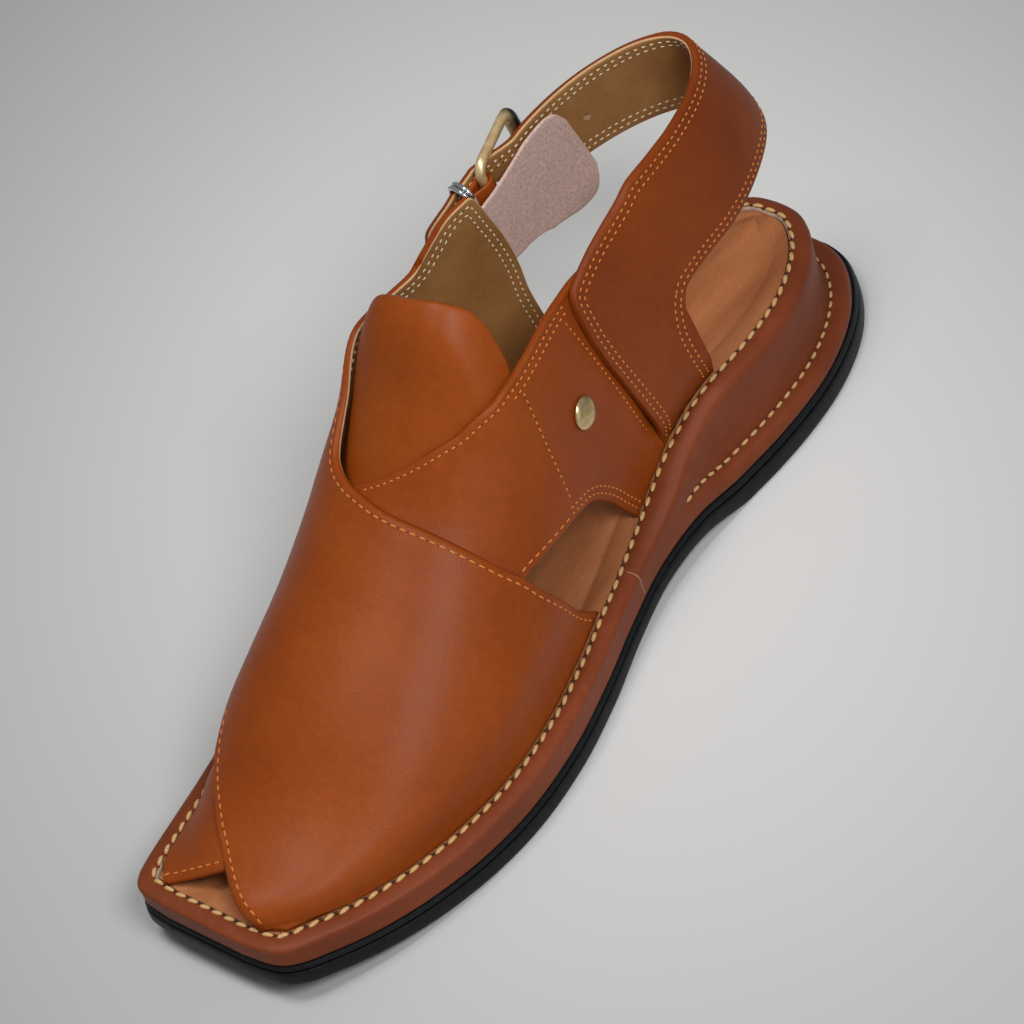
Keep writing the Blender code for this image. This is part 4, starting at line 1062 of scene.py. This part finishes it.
def relaxed(points, weight, passes):
    """Draw a sheet taut where the weight says so, with its borders held."""
    weight = (weight * 1.0)[..., None].copy()
    weight[[0, -1]] = 0
    weight[:, [0, -1]] = 0
    for _ in range(passes):
        mean = points.copy()
        mean[1:-1, 1:-1] = (points[:-2, 1:-1] + points[2:, 1:-1] + points[1:-1, :-2] + points[1:-1, 2:]) / 4
        points = points * (1 - weight) + mean * weight
    return points


def normals_of(points, like):
    """Normals of a grid of points, on the same side as others."""
    cross = np.cross(np.gradient(points, axis=0), np.gradient(points, axis=1))
    length = np.linalg.norm(cross, axis=-1, keepdims=True)
    cross = np.where(length > 1e-10, cross / np.maximum(length, 1e-12), like)
    return cross * np.where((cross * like).sum(-1, keepdims=True) < 0, -1, 1)


def trough(distance, centre, depth=0.00022, width=0.0009):
    """Soft furrow that a row of stitches pulls into the leather."""
    return -depth * np.exp(-((distance - centre) / width) ** 2)


def soft_waves(points, height):
    """Slow unevenness of worked leather."""
    x, y, z = (points[..., k] for k in range(3))
    broad = np.sin(95 * y + 40 * x + 1.3) * np.sin(70 * z - 55 * x + 0.4)
    return height * (broad + 0.6 * np.sin(150 * y - 90 * z))


def rim_creases(points, along, turn, low, high, strength):
    """Fine creases beside the rim where the leather is pulled under."""
    above = above_rim(points)
    window = ease(0.0008, 0.003, above) * (1 - ease(0.007, 0.013, above)) * (turn < 90)
    window = window * ease(low, low + 0.02, along) * (1 - ease(high - 0.02, high, along))
    phase = 2 * math.pi * above / 0.0015 + 60 * (along - low)
    return -strength * window * (0.5 + 0.5 * np.sin(phase + 1.5 * np.sin(90 * along)))


def dressed_panel(name, table, layers, faces, relief, change=None, **tags):
    """Panel sheet, with a furrow along its long edges where a change of its toe is given."""
    along, turn, _ = between(table, ROW_STEPS, SHARES[None, :])
    turn = np.clip(turn, 0, 180)
    inner, normal = skin(along, turn, layers(along, turn))
    on_rim = (turn < 0.01) | (turn > 179.99)
    inner = footed(inner, on_rim)
    if change:
        inner = to_lip(inner, normal, on_rim)
        for _ in range(2):
            inner = change(inner, along, turn)
            normal = normals_of(inner, normal)
            inner = to_lip(inner, normal, on_rim)
    field = distance_from(inner, [inner[:, 0], inner[:, -1]])
    height = relief(inner, along, turn) + (trough(field, PANEL_INSETS[0]) if change else 0)
    if "raw" in tags:
        tags["raw"] = tags["raw"](along, turn)
    outer = leather_sheet(name, inner, normal, LEATHER, faces, height, **tags)
    return {"inner": inner, "outer": outer, "normal": normal, "field": field,
            "params": np.stack([along, turn, 0 * turn + SHARES], -1)}


TOE_EDGE_ROWS = 9 * ROW_STEPS
TOE_RISE = 0.0006
TOE_FADE = 0.020


def straight_toe(inner, along, turn):
    """Draw the under panel taut at the toe, its edge straight from its foot to the near panel."""
    beyond = np.arange(len(inner)) - TOE_EDGE_ROWS
    share = np.linspace(0, 1, TOE_EDGE_ROWS + 1)[:, None]
    line = inner[0, 0] * (1 - share) + inner[TOE_EDGE_ROWS, 0] * share
    line[:, 2] += TOE_RISE * share[:, 0] ** 2
    shift = np.zeros_like(inner[:, 0])
    shift[:TOE_EDGE_ROWS + 1] = line - inner[:TOE_EDGE_ROWS + 1, 0]
    shift[TOE_EDGE_ROWS + 1:, 2] = TOE_RISE * (1 - ease(0, 10, beyond[TOE_EDGE_ROWS + 1:] - 1))
    reach = np.linalg.norm(inner - inner[:, :1], axis=-1)
    changed = inner + shift[:, None] * (1 - ease(0.0, TOE_FADE, reach))[..., None]
    return relaxed(changed, (1 - ease(0.016, 0.034, reach)) * (1 - ease(0, 15, beyond)[:, None]), 160)


def soft_toe(inner, along, turn, rows=70, passes=40):
    """Smooth the near panel's edge at the toe and ease the ridge beside it."""
    line = inner[:, 0].copy()
    for _ in range(passes):
        line[1:rows - 1] = (line[:rows - 2] + 2 * line[1:rows - 1] + line[2:rows]) / 4
    reach = np.linalg.norm(inner - inner[:, :1], axis=-1)
    changed = inner + (line - inner[:, 0])[:, None] * (1 - ease(0.0, TOE_FADE, reach))[..., None]
    return relaxed(changed, (1 - ease(0.12, 0.20, along)) * (1 - ease(60, 95, turn)) * 0.7, 16)


near = dressed_panel(
    "near_panel", NEAR_PANEL, near_layers, [UPPER, LINING, RAW_EDGE],
    lambda p, a, t: soft_waves(p, 0.00016) + rim_creases(p, a, t, 0.30, 0.46, 0.00012), soft_toe,
    slot="upper", replaces=["upper"], raw=lambda a, t: (t > 105) & (a > 0.3))
under = dressed_panel(
    "under_panel", UNDER_PANEL, under_layers, [UPPER, LINING, UPPER],
    lambda p, a, t: soft_waves(p, 0.00010) + rim_creases(p, a, t, 0.585, 0.69, 0.00022), straight_toe,
    slot="upper")
dressed_panel("tongue_cover", TONGUE, lambda a, t: np.full_like(a, TONGUE_LAYER),
              [TONGUE_FACE, LINING, TONGUE_FACE], lambda p, a, t: soft_waves(p, 0.00018))

# Heel strap and buckle guard
BAND_STEPS = 4
STRAP_SHARES = np.array([0.0, 0.015, 0.045, 0.09, 0.14, 0.19, 0.24, 0.30, 0.36, 0.42, 0.46, 0.50, 0.54, 0.58,
                         0.64, 0.70, 0.76, 0.81, 0.86, 0.91, 0.955, 0.985, 1.0])
STRAP_INSETS = (0.0020, 0.0041)


def fine_band(table, shares):
    """Inner points and normals of a band on the wall, its wall places, and where it stands on the rim."""
    turn, height, edges = between(table, BAND_STEPS, shares[None, :])
    height = height * HEIGHT_SHARE
    foot = rim_top(HEEL_PIVOT + 0.2 * np.minimum(turn, 0)) - FOOT_DROP
    height = np.where(turn < 0, np.maximum(height, foot), height)
    drop = ease(10 * MM, 0.0, height - foot) * (turn < 0.02)
    inner, normal = wall_skin(turn, height, edges[:, 4:5] - drop)
    row = np.arange(len(turn))[:, None]
    on_rim = (turn < 0) & (shares < 0.01) & (row >= 4 * BAND_STEPS) & (row <= 8 * BAND_STEPS)
    inner = footed(inner, on_rim)
    if on_rim.any():
        inner = to_lip(inner, normal, on_rim)
    return inner, normal, np.stack([turn, height, 0 * turn + shares], -1), on_rim


inner, normal, wall_place, strap_foot = fine_band(STRAP, STRAP_SHARES)
foot_rows = np.flatnonzero(strap_foot[:, 0])
strap_edges = [inner[:foot_rows[0] + 1, 0], inner[foot_rows[-1]:, 0], inner[:, -1], inner[0], inner[-1]]
strap_field = distance_from(inner, strap_edges)
strap_relief = soft_waves(inner, 0.00010)
for inset in STRAP_INSETS:
    strap_relief = strap_relief + trough(strap_field, inset, 0.00020, 0.0007)
above = above_rim(inner)
crease_window = ease(0.001, 0.003, above) * (1 - ease(0.009, 0.016, above)) * (wall_place[..., 0] < -0.03)
strap_relief -= 0.00022 * crease_window * (0.5 + 0.5 * np.sin(2 * math.pi * above / 0.0017
                                                              + 9 * wall_place[..., 0]))

# Slot for the prong, and a punched hole for a looser fit on the far side of the strap
PRONG_ROW = 30
HOLE_PLACE = (0.845, 0.0943)
HOLE_RADIUS = 0.0014
prong_rows = range(PRONG_ROW * BAND_STEPS, (PRONG_ROW + 1) * BAND_STEPS)
strap_absent = [(r, c) for r in prong_rows for c in range(9, 13)]
miss = (wall_place[..., 0] - HOLE_PLACE[0]) ** 2 + ((wall_place[..., 1] - HOLE_PLACE[1]) / 0.02) ** 2
row, column = np.unravel_index(np.argmin(miss), miss.shape)
hole_centre = inner[row, column].copy()
for dr, dc in ((-1, -1), (-1, 0), (-1, 1), (0, 1), (1, 1), (1, 0), (1, -1), (0, -1)):
    spot = (row + dr, column + dc)
    inner[spot] = hole_centre + unit(inner[spot] - hole_centre) * HOLE_RADIUS
strap_absent += [(row - 1, column - 1), (row - 1, column), (row, column - 1), (row, column)]
strap_outer = leather_sheet("heel_strap_cover", inner, normal, LEATHER, [STRAP_FACE, LINING, RAW_EDGE],
                            strap_relief, strap_absent, wall_place[..., 0] > 0.3)
strap = {"inner": inner, "outer": strap_outer, "normal": normal, "params": wall_place, "field": strap_field}

GUARD_SHARES = np.concatenate([[0.0, 0.02, 0.06], np.linspace(0.12, 0.88, 14), [0.94, 0.98, 1.0]])
guard_inner, guard_normal, _, _ = fine_band(GUARD, GUARD_SHARES)
leather_sheet("buckle_guard_cover", guard_inner, guard_normal, GUARD_LEATHER, [SUEDE] * 3,
              soft_waves(guard_inner, 0.00006))


# Buckle
def loop(length, height, corner, steps, spacing):
    """Closed rounded rectangle in its own plane, with extra points where its sides are long."""
    points = []
    for x, y, start in ((1, 1, 0), (-1, 1, 90), (-1, -1, 180), (1, -1, 270)):
        for k in range(steps + 1):
            angle = math.radians(start + 90 * k / steps)
            points.append(np.array([x * (length / 2 - corner) + corner * math.cos(angle),
                                    y * (height / 2 - corner) + corner * math.sin(angle)]))
    out = []
    for a, b in zip(points, points[1:] + points[:1]):
        count = max(1, int(np.linalg.norm(b - a) / spacing))
        out += [a + (b - a) * k / count for k in range(count)]
    return out


FRAME_WIRE = 0.00155
FAR_BAR_MORE = 0.00065
frame_path = []
frame_radii = []
for x, y in loop(BUCKLE_LENGTH, BUCKLE_HEIGHT, BUCKLE_CORNER, 8, 0.0016):
    reach = x + BUCKLE_LENGTH / 2
    frame_path.append(at_buckle(reach * math.cos(BUCKLE_TILT), y, reach * math.sin(BUCKLE_TILT)))
    frame_radii.append(FRAME_WIRE + FAR_BAR_MORE * ease(-0.0022, -0.0010, x - BUCKLE_LENGTH / 2))
wire("buckle_frame_cover", frame_path, frame_radii, BRASS_FACE, 20, True)

PRONG_ARCH = 0.0030
PRONG_STEPS = 14
EYE = BUCKLE_WIRE + PRONG_WIRE + 0.1 * MM
EYE_SWEEP = 270
prong_path = []
for k in range(25):
    angle = BUCKLE_TILT + math.radians(90 + EYE_SWEEP * (24 - k) / 24)
    prong_path.append(at_buckle(EYE * math.cos(angle), 0.0, EYE * math.sin(angle)))
for step in range(1, PRONG_STEPS + 1):
    reach = (BUCKLE_LENGTH + 1.2 * MM) * step / PRONG_STEPS
    back = reach * math.cos(BUCKLE_TILT) - EYE * math.sin(BUCKLE_TILT)
    out = reach * math.sin(BUCKLE_TILT) + EYE * math.cos(BUCKLE_TILT)
    prong_path.append(at_buckle(back, 0.0, out + PRONG_ARCH * math.sin(math.pi * min(step / 13.5, 1))))
prong_radii = [PRONG_WIRE] * (len(prong_path) - 1) + [PRONG_WIRE * 0.7]
wire("buckle_prong_cover", prong_path, prong_radii, CHROME_FACE, 16)

keeper_path = []
keeper_turns = loop(7.6 * MM, 28.6 * MM, 3.0 * MM, 6, 0.0012) * 2
for k, (x, y) in enumerate(keeper_turns):
    back = -0.0066 + (k / (len(keeper_turns) - 1) - 0.5) * 2 * (2 * KEEPER_WIRE + 0.08 * MM)
    keeper_path.append(at_buckle(back, -0.0021 + y, 0.0012 + x))
wire("keeper_ring_cover", keeper_path, KEEPER_WIRE, CHROME_FACE, 14)

TAB_STEPS = 5
TAB_SHARES = np.array([0.0, 0.02, 0.06, 0.12, 0.20, 0.30, 0.42, 0.50, 0.58, 0.70, 0.80, 0.88, 0.94, 0.98,
                       1.0])
tab_line = through(TAB, TAB_STEPS) * MM
tab_direction = unit(np.gradient(tab_line, axis=0))
tab_across = np.column_stack([-tab_direction[:, 1], tab_direction[:, 0]])
tab_heights = TAB_LOW + (TAB_TOP - TAB_LOW) * TAB_SHARES
tab_low = tab_line - tab_across * TAB_LEATHER / 2
tab_inner = np.array([[at_buckle(b, up, o) for up in tab_heights] for b, o in tab_low])
tab_normal = np.array([[b * BAR_BACK + o * BAR_OUT for up in tab_heights] for b, o in tab_across])
tab_absent = [(r, c) for r in range(3 * TAB_STEPS, 12 * TAB_STEPS) for c in (6, 7)]
leather_sheet("buckle_tab_cover", tab_inner, tab_normal, TAB_LEATHER, [TAB_FACE] * 3, absent=tab_absent)

# Rivet cap: turned dome with a soft rim
RIVET_PLACE = (0.5703, 27.8)
RIVET_SIDES = 48
RIVET_ROWS = [(0.90, 0.02), (0.97, 0.04), (1.0, 0.09), (0.985, 0.14)] + [
    (math.cos(math.radians(a)) * 0.97, 0.10 + 0.34 * math.sin(math.radians(a))) for a in range(14, 90, 8)]
rivet_seat, rivet_axis = skin(*RIVET_PLACE, 1 + (LEATHER + 0.25 * MM) / LAYER)
rivet_across = unit(np.cross(rivet_axis, [0.0, 1.0, 0.0]))
rivet_turns = (np.arange(RIVET_SIDES) * 2 * math.pi / RIVET_SIDES)[:, None]
spokes = rivet_across * np.cos(rivet_turns) + np.cross(rivet_axis, rivet_across) * np.sin(rivet_turns)
verts = []
for share, height in RIVET_ROWS:
    verts += list(rivet_seat + (rivet_axis * height + spokes * share) * RIVET_RADIUS)
verts.append(rivet_seat + rivet_axis * RIVET_RADIUS * 0.445)
top_ring = len(verts) - 1 - RIVET_SIDES
faces = [list(range(RIVET_SIDES))] + bands(len(RIVET_ROWS), RIVET_SIDES)
faces += [[top_ring + k, top_ring + (k + 1) % RIVET_SIDES, len(verts) - 1] for k in range(RIVET_SIDES)]
mesh_piece("rivet_cap_cover", verts, faces, [RIVET_FACE])

# Stitching; each form gives pitch, length, width, height and lift
GOLD = "edge_stitching"
CREAM = "lining_stitching"
# Key of the dark blobs at the stitch ends, painted shade of the needle holes
PAINTED_HOLE_SHADE = "needle_hole_shade_blobs"
LONG_STITCH = (0.0030, 0.0021, 0.00062, 0.00042, 0.00008)
SHORT_STITCH = (0.0023, 0.0013, 0.00060, 0.00040, 0.00006)
CREAM_STITCH = (0.0024, 0.0014, 0.00052, 0.00036, 0.00006)
RIM_STITCH = (0.0045, 0.0036, 0.00135, 0.00100, 0.00022)
LEDGE_STITCH = (0.0040, 0.0029, 0.00105, 0.00075, 0.0001)
threads = {}


def add_blob(key, centre, tangent, normal, half_length, half_width, half_height, rings=6, sides=8):
    """Rounded thread, or dark blob of painted hole shade, along its tangent, its ends sunk into the leather.
    """
    verts, faces = threads.setdefault(key, ([], []))
    side = np.cross(normal, tangent)
    angles = (np.arange(sides) * 2 * math.pi / sides)[:, None]
    base = len(verts)
    for t in np.linspace(-0.94, 0.94, rings):
        share = (1 - abs(t) ** 2.4) ** 0.5
        rise = half_height * (share * np.sin(angles) - 0.55 * abs(t) ** 2.5)
        around = side * half_width * share * np.cos(angles) + normal * rise
        verts += list(centre + tangent * half_length * t + around)
    faces += bands(rings, sides, base)
    for end in (range(base + sides - 1, base - 1, -1), range(len(verts) - sides, len(verts))):
        faces.append(list(end))


def stitch(key, form, line, keep=lambda here: True, turn=0.0, closed=False):
    """Row of stitches and the painted shade of their holes along a line of points and normals; keep says
    which places show.
    """
    pitch, length, width, height, lift = form
    line = np.vstack([line, line[:1]]) if closed else line
    reach = arc_of(line[:, :3])
    count = max(1, int(round(reach[-1] / pitch)))
    for i in range(count):
        at = (i + 0.5) * reach[-1] / count
        here, before, after = (np.array([np.interp(s, reach, line[:, k]) for k in range(line.shape[1])])
                               for s in (at, max(at - 0.3 * pitch, 0), min(at + 0.3 * pitch, reach[-1])))
        if not keep(here):
            continue
        normal = unit(here[3:6])
        tangent = after[:3] - before[:3]
        tangent = unit(tangent - normal * tangent.dot(normal))
        swing = math.radians(turn + 3.0 * math.sin(12.9 * i))
        direction = tangent * math.cos(swing) + np.cross(normal, tangent) * math.sin(swing)
        add_blob(key, here[:3] + normal * lift, direction, normal, length / 2, width / 2, height / 2)
        # Painted shade: a flat dark blob at the stitch's end stands in for its needle hole
        hole = here[:3] + direction * (length / 2 + width * 0.30) - normal * 0.00004
        add_blob(PAINTED_HOLE_SHADE, hole, direction, normal, width * 0.45, width * 0.42, 0.00010, 4)


near_edges = through(NEAR_PANEL, 1)
near_outline = np.concatenate([near_edges[:, :2], near_edges[::-1, 2:]])


def bare(x, y):
    """True where a place on the under panel lies outside the near panel."""
    hit = False
    for (x1, y1), (x2, y2) in zip(near_outline, np.roll(near_outline, -1, axis=0)):
        if (y1 > y) != (y2 > y) and x < (x2 - x1) * (y - y1) / (y2 - y1) + x1:
            hit = not hit
    return not hit


def above_foot(here):
    """True where a stitch stands clear of the rim."""
    return above_rim(here) > 0.0012


def sew(key, form, sheet, distance, keep, face="outer"):
    """Stitches at one distance from a sheet's edges; keep gets a place and its share of the width."""
    way = 1 if face == "outer" else -1
    data = np.concatenate([sheet[face], sheet["normal"] * way, sheet["params"]], axis=-1)
    for line in contours(sheet["field"], distance, data):
        stitch(key, form, line, lambda here: above_foot(here) and keep(*here[6:9]))


sew(GOLD, LONG_STITCH, near, PANEL_INSETS[0], lambda along, turn, share: (
    turn < 140 if share < 0.5 else not (along > 0.645 and 100 < turn < 168)))
sew(GOLD, LONG_STITCH, under, PANEL_INSETS[0], lambda along, turn, share: (
    share < 0.5 and along < 0.5 and bare(along, turn)))
sew(GOLD, SHORT_STITCH, under, PANEL_INSETS[0], lambda along, turn, share: bare(along, turn) and (
    along >= 0.5 if share < 0.5 else along < 0.612 and turn < 100))
sew(GOLD, SHORT_STITCH, under, PANEL_INSETS[1], lambda along, turn, share: bare(along, turn) and (
    along > 0.502 if share < 0.5 else 0.5095 < along < 0.612 and turn < 100))
for inset in STRAP_INSETS:
    sew(CREAM, CREAM_STITCH, near, inset, lambda along, turn, share: share > 0.5 and turn > 112, "inner")
    sew(CREAM, CREAM_STITCH, under, inset, lambda along, turn, share: (
        share > 0.5 and along > 0.45 and turn < 75), "inner")
    sew(GOLD, SHORT_STITCH, strap, inset, lambda turn, height, share: True)
    sew(CREAM, CREAM_STITCH, strap, inset, lambda turn, height, share: turn > -0.06, "inner")

# Two seams across the inner quarter: one to the gap between the panels, one beside the heel strap
QUARTER_SEAM = ((0.5215, 46.2), (0.5143, 38.2), (0.5098, 31.7), (0.5051, 22.6))
STRAP_SEAM = ((0.6050, 44.0), (0.6078, 40.7), (0.6143, 33.4), (0.6204, 26.3), (0.6291, 16.6), (0.6384, 7.9),
              (0.6440, 3.5))
for seam in (QUARTER_SEAM, STRAP_SEAM):
    along, turn = through(seam, 6).T
    points, normals = skin(along, turn, under_layers(along, turn) + LEATHER / LAYER)
    stitch(GOLD, SHORT_STITCH, np.concatenate([points, normals], axis=1), above_foot)

# Stout thread round the rim and a finer row in the groove of the heel
rim_ring = ring_at(SETBACK + 0.0009, below_rim(0.00012))
rim_up = np.column_stack([-RING_IN * 0.10, np.ones(len(RING_IN))])
stitch("rim_stitching", RIM_STITCH, np.concatenate([rim_ring, rim_up], axis=1), turn=8.0, closed=True)
groove_ring = (platform_rings[8] + platform_rings[9]) / 2
groove_out = np.column_stack([-RING_IN * 0.75, np.full(len(RING_IN), 0.66)])
stitch("ledge_stitching", LEDGE_STITCH, np.concatenate([groove_ring, groove_out], axis=1),
       lambda here: here[1] > 0.0385, closed=True)
THREADS = {GOLD: (GOLD_THREAD, "upper"), CREAM: (CREAM_THREAD, "upper"),
           "rim_stitching": (RIM_THREAD, "midsole"), "ledge_stitching": (RIM_THREAD, "midsole"),
           PAINTED_HOLE_SHADE: (NEEDLE_HOLE_SHADE, "upper")}
for key, (thread, slot) in THREADS.items():
    mesh_piece(key, *threads[key], [thread], slot=slot, sharp=80)

# Butt seam of the platform's leather cover on the inner side
SEAM_ALONG = 0.5335
seam_row = int(np.argmin(np.abs(PLAN[:, 0] - SEAM_ALONG)))
seam_path = [ring[seam_row] - np.append(RING_IN[seam_row], 0.0) * 0.00002 for ring in platform_rings[3:21]]
wire("cover_seam", seam_path, 0.00011, RIM_EDGE, 8, slot="midsole")

# Floor, light and camera
TARGET = np.array([0.003622, 0.00058, 0.040])
VIEW_BACK = np.array([0.56818676, -0.41648979, 0.7097183])
VIEW_RIGHT = np.array([0.76041468, 0.59539508, -0.25937274])
VIEW_UP = np.array([-0.31453669, 0.68705237, 0.65500055])
CAMERA_DISTANCE = 1.5
CAMERA_LENS = 189.4
FLOOR_REACH = 4.0
# Painted light on the floor: the centre, tones and reach of a bright middle that fades into painted shade
# towards the edges
LIGHT_POOL_CENTRE = (0.012, 0.030)
LIGHT_POOL_STOPS = ((0.0, 0.68), (0.35, 0.61), (0.7, 0.47), (1.0, 0.36))
LIGHT_POOL_REACH = 0.24


def floor_with_painted_light():
    """Pale floor with a painted pool of light: its colour darkens softly away from the middle of the
    picture, as painted shade towards the edges.
    """
    made, tree, shader, place = nodes_of("studio_floor_painted_light")
    squares = []
    for axis, centre in zip((VIEW_RIGHT, VIEW_UP), LIGHT_POOL_CENTRE):
        along_axis = reckon(tree, "DOT_PRODUCT", place, tuple(axis), kind="VectorMath")
        moved = reckon(tree, "SUBTRACT", along_axis, centre + float(TARGET @ axis))
        squares.append(reckon(tree, "POWER", moved, 2.0))
    radius = reckon(tree, "SQRT", reckon(tree, "ADD", *squares))
    share = add(tree, "MapRange", Value=radius, From_Max=LIGHT_POOL_REACH)
    painted_light_tones = ramp_of(tree, share, *((at, (tone, tone, tone * 0.99)) for at, tone in LIGHT_POOL_STOPS))
    fill(tree, shader, Base_Color=painted_light_tones, Roughness=0.85, Specular_IOR_Level=0.2)
    return made


floor_mesh = bpy.data.meshes.new("floor")
floor_corners = [(x * FLOOR_REACH, y * FLOOR_REACH, 0) for x, y in ((-1, -1), (1, -1), (1, 1), (-1, 1))]
floor_mesh.from_pydata(floor_corners, [], [(0, 1, 2, 3)])
floor_mesh.materials.append(floor_with_painted_light())
floor = placed("floor", floor_mesh)


def turned(obj, right, up, back, place):
    """Set an object's place and axes."""
    obj.matrix_world = Matrix([(right[k], up[k], back[k], place[k]) for k in range(3)] + [(0, 0, 0, 1)])


def area_light(name, right, up, back, size, power, colour):
    """Soft box placed by its direction from the shoe in the camera's own axes."""
    data = bpy.data.lights.new(name, "AREA")
    data.shape = "DISK"
    data.size = size
    data.energy = power
    data.color = colour
    away = right * VIEW_RIGHT + up * VIEW_UP + back * VIEW_BACK
    side = unit(np.cross(VIEW_UP, unit(away)))
    turned(placed(name, data), side, np.cross(unit(away), side), unit(away), TARGET + away)


area_light("key", -0.62, 0.80, 1.10, 0.55, 10.5, (1.0, 0.985, 0.96))
area_light("front", 0.28, 0.32, 1.5, 0.6, 13.5, (1.0, 0.99, 0.98))
area_light("low", 0.75, -0.35, 1.0, 1.0, 1.8, (0.97, 0.98, 1.0))

world = bpy.data.worlds.new("studio")
world.use_nodes = True
world.node_tree.nodes["Background"].inputs["Color"].default_value = (0.80, 0.83, 0.88, 1.0)
world.node_tree.nodes["Background"].inputs["Strength"].default_value = 0.27
bpy.context.scene.world = world
bpy.context.scene.view_settings.view_transform = "Standard"

camera_data = bpy.data.cameras.new("camera")
camera_data.lens = CAMERA_LENS
camera_data.sensor_width = 36.0
camera_data.clip_end = 20.0
camera = placed("camera", camera_data)
turned(camera, VIEW_RIGHT, VIEW_UP, VIEW_BACK, TARGET + CAMERA_DISTANCE * VIEW_BACK)
bpy.context.scene.camera = camera
